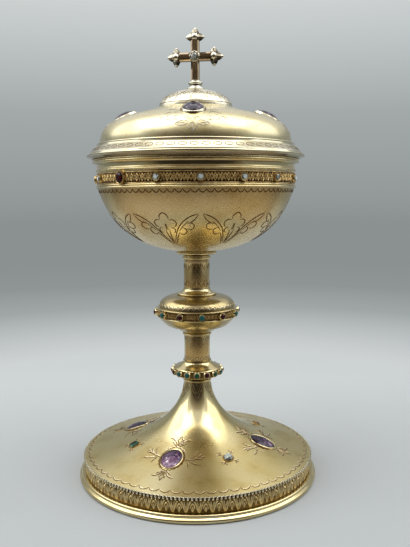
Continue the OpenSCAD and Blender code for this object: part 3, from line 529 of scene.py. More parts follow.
def mixed_cut_stone(length, width, girdle, crown, seed, dim):
    """An oval stone on z = 0 with rows of three-cornered facets. Its facet tones are painted light: dark up
    the slope and pale down it, where the light leaves it, with a few painted glints; dim below 1 makes it
    darker."""
    draw = random.Random(seed)
    count = 18
    loops = [oval_ring(length, width, 0, count)]
    for row, (share, rise) in enumerate(((1.0, 0.0), (0.84, 0.42), (0.63, 0.76), (0.38, 0.96))):
        loops.append(oval_ring(length * share, width * share, girdle + crown * rise, count, 0.5 * (row % 2)))
    points, faces = rings(loops[:2])
    for row in range(1, 4):
        low = row * count
        high = low + count
        for i in range(count):
            j = (i + 1) % count
            if row % 2:
                faces += [(low + i, low + j, high + i), (low + j, high + j, high + i)]
            else:
                faces += [(low + i, low + j, high + j), (low + i, high + j, high + i)]
    points = [p for loop in loops for p in loop] + [(0, 0, girdle + crown)]
    last = 4 * count
    faces += [(last + i, last + (i + 1) % count, 5 * count) for i in range(count)]
    faces.append(tuple(reversed(range(count))))
    tones = []
    for face in faces:
        share = min(1.0, max(0.0, 0.5 - 1.5 * sum(points[i][1] for i in face) / len(face) / length))
        painted_glint = 0.45 if draw.random() > 0.88 else 0.0
        tones.append(dim * (0.08 + 0.5 * share + 0.3 * draw.random()) + painted_glint * (0.3 + 0.7 * share))
    return Shape().extend(points, faces, tones)


def cut_corners(across, along, cut):
    """An oblong with its corners cut, from its half sizes and the length taken off each corner."""
    return [(across, along - cut), (across - cut, along), (cut - across, along), (-across, along - cut),
            (-across, cut - along), (cut - across, -along), (across - cut, -along), (across, cut - along)]


def step_stone(length, width, height, seed):
    """An oblong step-cut stone with cut corners, on z = 0."""
    draw = random.Random(seed)
    loops = []
    for share, level in ((1.0, 0.0), (1.0, 0.45), (0.8, 0.75), (0.58, 1.0)):
        outline = cut_corners(width / 2 * share, length / 2 - width / 2 * (1 - share), width / 4 * share)
        loops.append([(x, y, height * level) for x, y in outline])
    points, faces = rings(loops)
    faces += [tuple(reversed(range(8))), tuple(range(24, 32))]
    return Shape().extend(points, faces, [draw.random() for _ in faces])


def domed_stone(radius, girdle, crown):
    """A polished cabochon on z = 0."""
    count = 14
    loops = [oval_ring(2 * radius, 2 * radius, 0, count)]
    for k in range(4):
        a = math.radians(22.5 * k)
        across = 2 * radius * math.cos(a)
        loops.append(oval_ring(across, across, girdle + crown * math.sin(a), count))
    points, faces = rings(loops)
    tip = len(points)
    last = tip - count
    points = points + [(0, 0, girdle + crown)]
    faces += [(last + i, last + (i + 1) % count, tip) for i in range(count)]
    faces.append(tuple(reversed(range(count))))
    return Shape().extend(points, faces)


def collet(length, width, section, count=40):
    """A setting's wall: a section of (mm out from the stone's edge, level) taken round an oval."""
    loops = []
    for out, level in section:
        loops.append(oval_ring(length + 2 * out, width + 2 * out, level, count))
    points, faces = rings(loops, closed=True)
    return Shape().extend(points, faces)


def large_wall(bed):
    """Section of a large collet: a low wall that leans in to a thin burnished rim over the stone."""
    return ((0.08, -bed), (0.92, -bed), (0.8, 0.25), (0.56, 0.7), (0.5, 0.95), (0.32, 1.08), (0.06, 1.03),
            (-0.16, 0.92), (-0.12, 0.7), (0.08, 0.6))


def painted_shadow_ring(bed, surface):
    """Section of a dark line round the foot of a large collet, a painted shadow, at the level of the metal it
    stands on.
    """
    return ((0.6, -bed), (1.3, -bed), (1.25, surface + 0.08), (0.98, surface + 0.2), (0.6, surface + 0.2))


def bedded(setting, seat, skin, depth):
    """A setting moved to its seat, with its bed filed off at a depth in mm straight below the metal's face.
    What lies too deep goes out along the seat's axis in shrinking steps."""
    placed = setting.moved(seat)
    out = seat.col[2].to_3d()
    for point in placed.points:
        for _ in range(8):
            too_deep = skin.level(math.hypot(point.x, point.y)) - depth - point.z
            point += out * max(0.0, 0.7 * too_deep)
    return placed


def small_wall(bed, height):
    """Section of a small collet, with its edge rubbed over."""
    return ((0.08, -bed), (0.5, -bed), (0.46, height * 0.7), (0.34, height), (0.1, height),
            (-0.14, height * 0.86), (0.08, height * 0.6))


def ball(radius, centre, count=12, rows=6):
    """A ball of count faces round and rows up."""
    loops = []
    for k in range(1, rows):
        a = math.pi * k / rows - math.pi / 2
        across = 2 * radius * math.cos(a)
        loops.append([(x + centre[0], y + centre[1], z + centre[2])
                      for x, y, z in oval_ring(across, across, radius * math.sin(a), count)])
    points, faces = rings(loops)
    low = len(points)
    points = points + [(centre[0], centre[1], centre[2] - radius), (centre[0], centre[1], centre[2] + radius)]
    for i in range(count):
        j = (i + 1) % count
        faces.append((j, i, low))
        faces.append((low - count + i, low - count + j, low + 1))
    return Shape().extend(points, faces)


# Node trees that make the repeated and turned work
def new_tree(name, inputs):
    """An empty tree and the sockets of what it is given."""
    tree = bpy.data.node_groups.new(name, "GeometryNodeTree")
    for label, kind in inputs:
        tree.interface.new_socket(label, in_out="INPUT", socket_type=kind)
    tree.interface.new_socket("Metal", in_out="OUTPUT", socket_type="NodeSocketGeometry")
    return tree, add(tree, "NodeGroupInput").outputs


def lathe_tree():
    """Takes a closed section round the axis."""
    tree, given = new_tree("turned_on_lathe", (("Section", "NodeSocketGeometry"), ("Steps", "NodeSocketInt"),
                                               ("Finish", "NodeSocketMaterial")))
    section = add(tree, "GeometryNodeMeshToCurve", {"Mesh": given["Section"]})
    path = add(tree, "GeometryNodeCurvePrimitiveCircle", {"Resolution": given["Steps"], "Radius": BENCH * MM})
    swept = add(tree, "GeometryNodeCurveToMesh", {"Curve": path.outputs["Curve"],
                                                  "Profile Curve": section.outputs["Curve"]})
    whole = add(tree, "GeometryNodeRealizeInstances", {"Geometry": swept.outputs["Mesh"]})
    finish = add(tree, "GeometryNodeSetMaterial", {"Geometry": whole.outputs["Geometry"],
                                                   "Material": given["Finish"]})
    add(tree, "NodeGroupOutput", {"Metal": finish.outputs["Geometry"]})
    return tree


def round_the_axis(tree, given, motif):
    """Copies of a motif at even turns, made one mesh with its finish."""
    places = add(tree, "GeometryNodePoints", {"Count": given["Count"]})
    index = add(tree, "GeometryNodeInputIndex")
    turn = add(tree, "ShaderNodeMath", {0: index.outputs["Index"], 1: given["Step"], 2: given["First"]},
               operation="MULTIPLY_ADD")
    angle = add(tree, "ShaderNodeMath", {0: turn.outputs["Value"]}, operation="RADIANS")
    spin = add(tree, "ShaderNodeCombineXYZ", {"Z": angle.outputs["Value"]})
    copies = add(tree, "GeometryNodeInstanceOnPoints", {"Points": places.outputs["Points"], "Instance": motif,
                                                        "Rotation": spin.outputs["Vector"]})
    whole = add(tree, "GeometryNodeRealizeInstances", {"Geometry": copies.outputs["Instances"]})
    finish = add(tree, "GeometryNodeSetMaterial", {"Geometry": whole.outputs["Geometry"],
                                                   "Material": given["Finish"]})
    add(tree, "NodeGroupOutput", {"Metal": finish.outputs["Geometry"]})


RING_INPUTS = (("Count", "NodeSocketInt"), ("Step", "NodeSocketFloat"), ("First", "NodeSocketFloat"),
               ("Finish", "NodeSocketMaterial"))


def setting_tree():
    """Sets copies of a made motif round the axis."""
    tree, given = new_tree("set_round_axis", (("Motif", "NodeSocketGeometry"),) + RING_INPUTS)
    round_the_axis(tree, given, given["Motif"])
    return tree


def graving_tree():
    """Runs a graver's or chaser's section along drawn lines, then repeats the motif round the axis."""
    own_inputs = (("Lines", "NodeSocketGeometry"), ("Tool", "NodeSocketObject"))
    tree, given = new_tree("worked_along_lines", own_inputs + RING_INPUTS)
    lines = add(tree, "GeometryNodeMeshToCurve", {"Mesh": given["Lines"]})
    out = add(tree, "GeometryNodeInputNamedAttribute", {"Name": "out"}, data_type="FLOAT_VECTOR")
    half = add(tree, "GeometryNodeInputNamedAttribute", {"Name": "half"}, data_type="FLOAT")
    upright = add(tree, "GeometryNodeSetCurveNormal", {"Curve": lines.outputs["Curve"],
                                                       "Normal": out.outputs["Attribute"]}, mode="FREE")
    cutter = add(tree, "GeometryNodeObjectInfo", {"Object": given["Tool"]})
    edge = add(tree, "GeometryNodeMeshToCurve", {"Mesh": cutter.outputs["Geometry"]})
    swept = add(tree, "GeometryNodeCurveToMesh", {
        "Curve": upright.outputs["Curve"], "Profile Curve": edge.outputs["Curve"],
        "Scale": half.outputs["Attribute"], "Fill Caps": True})
    round_the_axis(tree, given, swept.outputs["Mesh"])
    return tree


LATHE = lathe_tree()
SETTING = setting_tree()
GRAVING = graving_tree()


def made(tree, name, start, values):
    """Runs a tree on a starting mesh and leaves one plain mesh object."""
    piece = bpy.data.objects.new(name, start)
    bpy.context.scene.collection.objects.link(piece)
    work = piece.modifiers.new("making", "NODES")
    work.node_group = tree
    for item in tree.interface.items_tree:
        if item.in_out == "INPUT" and item.name in values:
            work[item.identifier] = values[item.name]
    graph = bpy.context.evaluated_depsgraph_get()
    mesh = bpy.data.meshes.new_from_object(piece.evaluated_get(graph), preserve_all_data_layers=True,
                                           depsgraph=graph)
    piece.modifiers.clear()
    piece.data = mesh
    mesh.name = name
    bpy.data.meshes.remove(start)
    return piece


def loop_mesh(name, points):
    """A closed loop of edges."""
    mesh = bpy.data.meshes.new(name)
    count = len(points)
    mesh.from_pydata(points, [(i, (i + 1) % count) for i in range(count)], [])
    return mesh


SLOTS = {finish.name: slot for slot, finishes in (
    ("silver_gilt", (SATIN, KNOP_SATIN, FOOT_SATIN, DOME_SATIN, CAP_SATIN, BROWN_PATINA_AND_SHADE, DARK_PATINA_AND_SHADE, DARK_CUT,
                     WORN_AND_SHADED_CUT)),
    ("bright_gilt", (BRIGHT, PALE_BRIGHT, BRIM_GILT, SILVERED, DARKENED, TARNISHED, BRIGHT_CUT, PALE_HIGHLIGHT_CUT,
                     RUBBED, BRIGHT_RELIEF)),
    ("steel", (STEEL,)),
    ("amethyst", (AMETHYST,)),
    ("emerald", (EMERALD,)),
    ("rock_crystal", (CRYSTAL,)),
    ("citrine", (CITRINE,)),
    ("garnet", (GARNET,)),
    ("turquoise", (TURQUOISE,))) for finish in finishes}


def fit(piece, body, finish, nodes=()):
    """Puts a finished piece on its body and hides the nodes that it stands for."""
    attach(piece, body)
    if nodes:
        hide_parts(*nodes)
    return piece


def turned(name, section, finish, body, nodes=()):
    """A turned piece from a closed section of (radius, level)."""
    start = loop_mesh(name + "_section", [((r - BENCH) * MM, -z * MM, 0) for r, z in section])
    piece = made(LATHE, name, start, {"Steps": TURN_STEPS, "Finish": finish})
    tidy(piece.data)
    soften(piece.data)
    return fit(piece, body, finish, nodes)


def set_round(name, shape, finish, body, count, first, nodes=(), flat=False):
    """Copies of a shape at even turns round the axis."""
    start = shape.mesh(name + "_motif", flat)
    piece = made(SETTING, name, start, {"Count": count, "Step": 360.0 / count, "First": float(first),
                                        "Finish": finish})
    return fit(piece, body, finish, nodes)


class Lines:
    """Lines drawn on a skin for the graver: points, the way out of the metal, and half widths."""

    def __init__(self):
        self.points = []
        self.outs = []
        self.halves = []
        self.edges = []

    def draw(self, find, path, half, closed=False, steps=5, taper=0.3):
        """A smooth line of a half width, narrower at its ends unless it is closed or taper is 1."""
        spots = [find(p[0], p[1]) for p in spline(path, closed, steps)]
        first = len(self.points)
        count = len(spots)
        for i, (point, out) in enumerate(spots):
            end = min(i, count - 1 - i) / max(1, count - 1)
            share = 1.0 if closed else min(1.0, taper + (1 - taper) * end / 0.22)
            self.points.append(tuple(point * MM))
            self.outs.append(tuple(out))
            self.halves.append(half * share * MM)
        self.edges.extend((first + i, first + i + 1) for i in range(count - 1))
        if closed:
            self.edges.append((first + count - 1, first))

    def both(self, find, path, half, steps=5):
        """The path and its mirror image."""
        self.draw(find, path, half, steps=steps)
        self.draw(find, [(-p[0], p[1]) for p in path], half, steps=steps)

    def crossed(self, find, half, rise, cut):
        """Two zigzags that cross, for one step of a lattice: half the step wide and rise high each way."""
        for way in (rise, -rise):
            self.draw(find, ((-half, -way), (0, way), (half, -way)), cut, steps=2, taper=1)

    def painted_highlight_side(self, shift):
        """The same lines moved up the slope by a shift in mm, for a painted highlight on the side of each cut
        that would take the light.
        """
        copy = Lines()
        copy.edges = list(self.edges)
        copy.outs = list(self.outs)
        copy.halves = list(self.halves)
        for point, out in zip(self.points, self.outs):
            out = Vector(out)
            up = (Vector((0, 0, 1)) - out * out.z).normalized()
            copy.points.append(tuple(Vector(point) + up * shift * MM))
        return copy

    def mesh(self, name):
        mesh = bpy.data.meshes.new(name)
        mesh.from_pydata(self.points, self.edges, [])
        out = mesh.attributes.new("out", "FLOAT_VECTOR", "POINT")
        out.data.foreach_set("vector", [c for way in self.outs for c in way])
        half = mesh.attributes.new("half", "FLOAT", "POINT")
        half.data.foreach_set("value", self.halves)
        return mesh


def tool(name, points):
    """The section a tool leaves, as (out of the metal, across), in half widths."""
    piece = bpy.data.objects.new(name, loop_mesh(name, [(p[0], p[1], 0) for p in points]))
    bpy.context.scene.collection.objects.link(piece)
    return piece


GRAVER = tool("graver", ((0.30, 1.0), (0.04, 0.0), (0.30, -1.0), (-0.4, -0.9), (-0.4, 0.9)))
CHASER = tool("chaser", ((-0.1, 1.0), (0.55, 0.62), (0.8, 0.0), (0.55, -0.62), (-0.1, -1.0)))


def worked(name, lines, section, finish, body, count, first):
    """Engraved or raised lines, repeated round the axis. Their edges are left softer than other pieces'."""
    piece = made(GRAVING, name, lines.mesh(name + "_lines"), {
        "Tool": section, "Count": count, "Step": 360.0 / count, "First": float(first), "Finish": finish})
    tidy(piece.data)
    soften(piece.data, math.radians(50))
    return fit(piece, body, finish)


def cut_with_painted_light(name, lines, body, count, first, dark=DARK_CUT, lit=BRIGHT_CUT):
    """Engraving whose cuts show a dark side of painted shade and, up the slope from it, a pale side of
    painted highlight.
    """
    worked(name + "_dark_sides", lines, GRAVER, dark, body, count, first)
    worked(name + "_lit_sides", lines.painted_highlight_side(0.4), GRAVER, lit, body, count, first)


def scallop(half, ends, flanks, middle, lean=0.6):
    """Path of one scallop, from half its width and the levels of its ends, flanks and middle."""
    return ((-half, ends), (-half * lean, flanks), (0, middle), (half * lean, flanks), (half, ends))


# Outlines of the shells, from the levels of the frame
foot_r, foot_low, ring_top = reach("foot_ring")
gallery_r, gallery_low, gallery_top = reach("foot_gallery")
bead_r, bead_low, bead_top = reach("foot_bead_wire")
trumpet_r, trumpet_low, neck_top = reach("foot_trumpet")
neck_ring_r, neck_ring_low, neck_ring_top = reach("neck_ring")
collar_low = neck_ring_top
collar_r = reach("jewel_collar")[0]
stem_r, stem_low, stem_top = reach("lower_stem")
knop_foot_r, knop_foot_low, knop_low = reach("knop_foot_ring")
girdle_low, girdle_top = reach("knop_girdle")[1:]
knop_top_r, knop_top_low, knop_top = reach("knop_upper_shell")
knop_collar_r, knop_collar_low, knop_collar_top = reach("knop_collar")
upper_r, upper_low, upper_top = reach("upper_stem")
seat_r, seat_low, bowl_low = reach("bowl_seat")
bowl_r = reach("bowl_shell")[0]
wire_r, ledge = reach("band_lower_wire")[:2]
band_r, band_low, band_top = reach("jewel_band")
lip_r, lip_low, lip_top = reach("bowl_lip")
flange_r, flange_low, flange_top = reach("lid_flange")
brim_r, brim_low = reach("lid_brim")[:2]
dome_r, dome_low, dome_top = reach("lid_dome")
cap_r, cap_low, cap_top = reach("lid_cap")
finial_r, finial_low, cross_low = reach("finial_base")

# Sizes in mm that no box of the frame gives
NECK_R = 7.8
TRUMPET_LAND = 3.4
ROD_BORE = 3.4
STUD_BORE = 1.9
KNOP_R = 22.6
GIRDLE_WIRE = 0.6
WALL_R = 55.0
MOUTH_R = WALL_R - BOWL_WALL
CAP_LEDGE = 1.0
STONE_R = 40.0

# Azimuths in degrees of the first large stone of foot and lid, and of the foot's first small stone
FOOT_FIRST = -20
SMALL_FIRST = 25
LID_FIRST = -1

# Handles of the shells' curves, the same outside and inside
TRUMPET_BEND = ((0.348, 0.154), (0.076, 0.76))
BOWL_BEND = ((0.416, 0.058), (0.17, 0.703))
DOME_BEND = ((-0.034, 0.75), (0.36, 0.24))
CAP_BEND = ((0.03, 0.66), (0.23, 0))
KNOP_LOW_BEND = ((0.359, 0.453), (0.539, 1.041))
KNOP_TOP_BEND = ((0, 0.75), (0.478, 0.09))

dome_edge = cap_r + CAP_LEDGE
cap_flat = finial_r + 0.2
trumpet_out = curve((trumpet_r, trumpet_low), (NECK_R, neck_top), *TRUMPET_BEND)
trumpet_in = curve((trumpet_r - TRUMPET_LAND, trumpet_low), (NECK_R - SHEET, neck_top - SHEET), *TRUMPET_BEND)
bowl_out = curve((seat_r + 0.2, bowl_low), (bowl_r, ledge), *BOWL_BEND)
bowl_in = curve((seat_r - 0.65, bowl_low + BOWL_WALL), (MOUTH_R, ledge), *BOWL_BEND)
dome_out = curve((dome_r, dome_low), (dome_edge, dome_top), *DOME_BEND)
dome_in = curve((dome_r - SHEET, dome_low), (dome_edge - SHEET / 2, dome_top - SHEET), *DOME_BEND)
cap_out = curve((cap_r, cap_low + 1), (cap_flat, cap_top), *CAP_BEND)
cap_in = curve((cap_r - SHEET, cap_low + 1), (cap_flat, cap_top - SHEET), *CAP_BEND)
knop_low_out = curve((knop_foot_r, knop_low), (KNOP_R, girdle_low), *KNOP_LOW_BEND)
knop_low_in = curve((knop_foot_r - SHEET, knop_low + SHEET), (KNOP_R - SHEET, girdle_low), *KNOP_LOW_BEND)
knop_top_out = curve((knop_top_r, knop_top_low), (knop_collar_r, knop_top), *KNOP_TOP_BEND)
knop_top_in = curve((knop_top_r - SHEET, knop_top_low), (knop_collar_r - SHEET / 2, knop_top - SHEET),
                    *KNOP_TOP_BEND)

TRUMPET = Skin(trumpet_out)
GALLERY = Skin([(gallery_r, gallery_low), (gallery_r, gallery_top)])
BOWL = Skin(bowl_out)
BAND = Skin([(band_r, band_low), (band_r, band_top)])
DOME = Skin(dome_out)
CAP = Skin(cap_out)
BRIM_SLOPE = Skin([(brim_r - 1.75, brim_low + 3.4), (dome_r + 2.4, dome_low - 1.75)])
KNOP_TOP = Skin(knop_top_out)
GIRDLE = Skin([(KNOP_R, girdle_low + GIRDLE_WIRE), (KNOP_R, girdle_top - GIRDLE_WIRE)])
LOWER_STEM = Skin([(stem_r, stem_low), (stem_r, stem_top)])
UPPER_STEM = Skin([(upper_r, upper_low), (upper_r, upper_top)])


# Foot
def make_foot():
    main_h = (ring_top - foot_low) * 0.6
    step_h = ring_top - foot_low - main_h
    step_r = foot_r - 1.2
    ring_in = foot_r - 6
    turned("base_ring", eased(
        [(ring_in, foot_low), (foot_r - main_h / 2, foot_low)]
        + round_edge(foot_r, foot_low, main_h, -80, 60)
        + round_edge(step_r, foot_low + main_h, step_h, -45, 90)
        + [(ring_in, ring_top)]), BRIGHT, "cup", ["foot_ring"])
    # The gallery wall is the ground behind the frieze, browned as patina and painted shade.
    turned("gallery_wall", eased(plain_ring(gallery_r - SHEET, gallery_r, gallery_low, gallery_top), 0.1),
           BROWN_PATINA_AND_SHADE, "cup", ["foot_gallery"])
    turned("trumpet_foot", trumpet_out + [(ROD_BORE, neck_top), (ROD_BORE, neck_top - SHEET)]
           + trumpet_in[::-1], FOOT_SATIN, "cup", ["foot_trumpet"])
    make_beaded_edge()
    make_frieze()
    make_foot_engraving()
    make_foot_stones()


def make_beaded_edge():
    """A wire with two hundred upright beads standing on the gallery, pale on top, and between them a dark
    ground of patina and painted shade.
    """
    core = bead_r - 0.95
    back = gallery_r - SHEET
    edge_low = bead_top - 0.5
    turned("beaded_edge_wire", eased(
        [(back, edge_low), (core, edge_low), (core, bead_top - 0.15), (core - 0.3, bead_top),
         (back, bead_top)], 0.1), PALE_BRIGHT, "cup", ["foot_bead_wire"])
    # The ground between the beads is dark patina and painted shade.
    turned("beaded_edge_ground", eased(plain_ring(back, core - 0.1, bead_low, edge_low), 0.05), DARK_PATINA_AND_SHADE,
           "cup")
    half_wide = 0.74
    half_deep = 0.9
    half_h = (bead_top - bead_low) / 2
    bead = ball(1.0, (0, 0, 0), 8, 6).moved(
        Matrix.Translation((0, half_deep - bead_r, bead_low + half_h))
        @ Matrix.Diagonal((half_wide, half_deep, half_h, 1)))
    set_round("beaded_edge_beads", bead, PALE_BRIGHT, "cup", 200, 0)


def make_frieze():
    """Leaf and dart: a fluted leaf, an arch over to the next one, and a dart under the arch."""
    find = GALLERY.by_length(0.0)
    lines = Lines()
    top = gallery_top - gallery_low
    for path, half in (
            (((0.34, 0.4), (0.8, 2.2), (1.4, 4.1), (2.2, top - 0.9), (2.8, top - 1.2)), 0.5),
            (((0.95, top - 0.5), (0.66, 4.6), (0.4, 3.0)), 0.36)):
        lines.both(find, path, half, steps=3)
    lines.draw(find, ((0, 0.3), (0, 2.4), (0, 4.0)), 0.4, steps=3)
    lines.draw(find, ((2.15, 2.2), (2.45, 3.9), (3.35, 4.8), (4.25, 3.9), (4.55, 2.2)), 0.42, steps=3)
    lines.draw(find, ((3.35, 0.9), (3.0, 2.1), (3.35, 3.3), (3.7, 2.1)), 0.3, closed=True, steps=3)
    worked("gallery_frieze", lines, CHASER, BRIGHT_RELIEF, "cup", 62, 1.2)


def make_foot_engraving():
    """A scalloped border, a spray round each large stone, a sprig round each small one, and neck leaves."""
    border_r = 64.6
    scallops = 66
    find = TRUMPET.by_length(TRUMPET.along(0, border_r))
    border = Lines()
    border.draw(find, scallop(math.pi * (border_r - 1.2) / scallops, 2.1, 0.6, 0.0), 0.24, steps=3)
    cut_with_painted_light("foot_scalloped_border", border, "cup", scallops, 1.6)

    find = TRUMPET.by_length(TRUMPET.along(0, STONE_R))
    spray = Lines()
    for way in (1, -1):
        for path, half in (
                (((0.6, 9.0), (1.2, 11.2), (2.6, 13.2), (4.6, 14.4), (6.4, 14.4)), 0.32),
                (((1.0, 9.6), (2.4, 11.0), (4.4, 12.6)), 0.26),
                (((0.0, 10.0), (0.5, 12.6), (1.9, 14.6)), 0.3),
                (((1.9, 14.6), (0.9, 14.9), (0.0, 17.6)), 0.3)):
            spray.both(find, [(x, y * way) for x, y in path], half, steps=4)
        spray.draw(find, [(0.0, 11.0 * way), (0.0, 15.6 * way)], 0.22, steps=4)
    for path, half in (
            (((6.9, 0.0), (10.4, 0.4), (13.8, 1.2), (17.3, 0.7)), 0.32),
            (((9.2, 0.7), (11.1, 2.6), (11.9, 5.0), (11.4, 7.4)), 0.3),
            (((11.9, 1.0), (14.1, 2.6), (15.0, 4.6)), 0.26),
            (((9.5, -0.2), (11.9, -1.9), (14.6, -3.1), (17.6, -3.6)), 0.3),
            (((8.7, -0.7), (10.0, -2.9), (10.8, -5.5)), 0.28),
            (((13.8, 1.2), (15.7, 2.2), (17.6, 2.4)), 0.24)):
        spray.both(find, path, half, steps=4)
    scallops = 20
    step = math.pi / scallops
    for k in range(scallops):
        turn = 2 * step * k
        spray.draw(find, [((6.9 + lift) * math.cos(turn + a), (8.6 + lift) * math.sin(turn + a))
                          for a, lift in ((-step, 0.0), (0, 0.5), (step, 0.0))], 0.2, steps=3)
    cut_with_painted_light("foot_sprays", spray, "cup", 4, FOOT_FIRST)

    sprig = Lines()
    for turn in (45, 135, 225, 315):
        c = math.cos(math.radians(turn))
        s = math.sin(math.radians(turn))
        for path, half in ((((3.6, 0.0), (5.0, 0.0), (6.6, 0.0)), 0.26),
                           (((4.2, 0.0), (5.2, 0.9), (5.6, 1.9)), 0.22),
                           (((4.2, 0.0), (5.2, -0.9), (5.6, -1.9)), 0.22)):
            sprig.draw(find, [(x * c - y * s, x * s + y * c) for x, y in path], half, steps=4)
    cut_with_painted_light("foot_sprigs", sprig, "cup", 4, SMALL_FIRST)

    find = TRUMPET.by_length(TRUMPET.lengths[-1])
    leaves = Lines()
    leaves.both(find, ((4.0, -0.8), (3.0, -3.6), (1.2, -7.0), (0.0, -9.6)), 0.22, steps=4)
    leaves.both(find, ((2.6, -0.8), (1.6, -3.6), (0.0, -6.4)), 0.2, steps=4)
    leaves.draw(find, ((0.0, -0.8), (0.0, -4.2)), 0.2, steps=4)
    cut_with_painted_light("neck_leaves", leaves, "cup", 6, 0)


def make_foot_stones():
    sunk = 0.3
    length = 14.8
    width = 11.4
    seat = TRUMPET.seat(TRUMPET.along(0, STONE_R), -sunk)
    wall = collet(length, width, large_wall(1.2)).moved(seat)
    # A dark ring round each collet's foot is painted shadow.
    shadow_ring = collet(length, width, painted_shadow_ring(0.6, sunk)).moved(seat)
    set_round("foot_amethyst_settings", wall, BRIGHT, "cup", 4, FOOT_FIRST, ["foot_amethyst_collets"])
    set_round("foot_amethyst_seams", shadow_ring, DARK_CUT, "cup", 4, FOOT_FIRST)
    ovals = Shape()
    # Painted light: the front stone's facets are painted paler than the other three stones'.
    for k, dim in enumerate((0.8, 0.34, 0.4, 0.34)):
        oval = mixed_cut_stone(length, width, 0.6, 1.7, 7 + k, dim)
        ovals.join(oval.moved(swing(90 * k + FOOT_FIRST) @ seat))
    set_round("foot_amethyst_stones", ovals, AMETHYST, "cup", 1, 0, ["foot_amethysts"], flat=True)
    make_small_foot_stones(seat)


def make_small_foot_stones(seat):
    """A crystal, a citrine, a garnet and an oblong emerald, each between two of the large stones."""
    bed = 1.1
    crystal = 5.7
    small = 4.6
    oblong = 6.0
    oblong_wall = []
    for out, level in small_wall(bed, 0.9):
        outline = cut_corners(small / 2 + out, oblong / 2 + out, small / 4 + out * 0.4)
        oblong_wall.append([(x, y, level) for x, y in outline])
    settings = (collet(crystal, crystal, small_wall(bed, 0.95)), collet(small, small, small_wall(bed, 0.85)),
                collet(small, small, small_wall(bed, 0.85)), Shape().extend(*rings(oblong_wall, closed=True)))
    walls = Shape()
    for k, setting in enumerate(settings):
        walls.join(setting.moved(swing(SMALL_FIRST + 90 * k) @ seat))
    set_round("foot_small_settings", walls, RUBBED, "cup", 1, 0, ["foot_small_collets"])
    for k, (name, cut, finish, node) in enumerate((
            ("foot_rock_crystal", cut_stone(crystal, crystal, 0.8, 1.6, 11), CRYSTAL, "foot_crystal"),
            ("foot_yellow_citrine", cut_stone(small, small, 0.7, 1.2, 12), CITRINE, "foot_citrine"),
            ("foot_red_garnet", cut_stone(small, small, 0.7, 1.2, 13), GARNET, "foot_garnet"),
            ("foot_oblong_emerald", step_stone(oblong, small, 1.7, 3), EMERALD, "foot_emerald"))):
        set_round(name, cut.moved(seat), finish, "cup", 1, SMALL_FIRST + 90 * k, [node], flat=True)


# Stem and knop
def make_stem():
    turned("neck_bead", eased(
        [(ROD_BORE, neck_ring_low)] + round_edge(neck_ring_r, neck_ring_low, neck_ring_top - neck_ring_low)
        + [(ROD_BORE, neck_ring_top)]), BRIGHT, "cup", ["neck_ring"])
    land_low = collar_low + (stem_low - collar_low) * 0.27
    land_top = land_low + 3.6
    rim_r = stem_r + 0.8
    turned("jewelled_collar", eased(
        [(ROD_BORE, collar_low), (neck_ring_r - 0.8, collar_low), (collar_r - 0.6, land_low - 0.5),
         (collar_r, land_low), (collar_r, land_top)]
        + curve((collar_r - 0.6, land_top + 0.5), (rim_r, stem_low - 1), (0.5, 0.35), (0.3, 0.6), 24)
        + [(rim_r, stem_low), (ROD_BORE, stem_low)]), BRIGHT, "cup", ["jewel_collar"])
    # A dark ground behind the collar's stones: patina and painted shade.
    turned("collar_ground", plain_ring(collar_r - 0.3, collar_r + 0.04, land_low + 0.1, land_top - 0.1),
           BROWN_PATINA_AND_SHADE, "cup")
    land = Skin([(collar_r, land_low), (collar_r, land_top)])
    seat = land.seat(land.lengths[-1] / 2, 0.5)
    stones = 16
    stone_r = 1.5
    wall = collet(2 * stone_r, 2 * stone_r, small_wall(0.75, 0.6), 20).moved(seat)
    set_round("collar_settings", wall, BRIGHT, "cup", stones, 0, ["collar_collets"])
    bead = domed_stone(stone_r, 0.36, 0.9)
    for name, finish, places, node in (
            ("collar_green_stones", EMERALD, (0, 2), "collar_emeralds"),
            ("collar_red_stones", GARNET, (1, 4, 5), "collar_garnets"),
            ("collar_blue_stones", TURQUOISE, (3, 6, 7), "collar_turquoises")):
        run = Shape()
        for k in places:
            run.join(bead.moved(swing(360 / stones * k) @ seat))
        set_round(name, run, finish, "cup", 2, 0, [node])
    turned("lower_stem_tube", eased(plain_ring(stem_r - SHEET, stem_r, stem_low, stem_top), 0.1), SATIN,
           "cup", ["lower_stem"])
    turned("upper_stem_tube", eased(plain_ring(upper_r - SHEET, upper_r, upper_low, upper_top), 0.1), SATIN,
           "cup", ["upper_stem"])
    make_stem_engraving()
    make_bowl_seat()


def make_bowl_seat():
    """A bead round the top of the tube, and a hollow that opens to a rounded rim under the bowl."""
    seat_in = 6.6
    seat_h = bowl_low - seat_low
    bead_h = seat_h * 0.2
    bead_start = seat_low + seat_h * 0.3
    rim_h = seat_h * 0.3
    bead_edge = upper_r + 1
    tube_edge = upper_r + 0.05
    turned("bowl_seat_moulding", eased(
        [(seat_in, seat_low), (tube_edge, seat_low), (tube_edge, bead_start)]
        + round_edge(bead_edge, bead_start, bead_h)
        + curve((bead_edge - bead_h / 2, bead_start + bead_h + 0.2), (seat_r - 0.6, bowl_low - rim_h),
                (0, 0.5), (0.5, 0), 20)
        + round_edge(seat_r, bowl_low - rim_h, rim_h)
        + [(seat_in, bowl_low)]), BRIGHT, "cup", ["bowl_seat"])


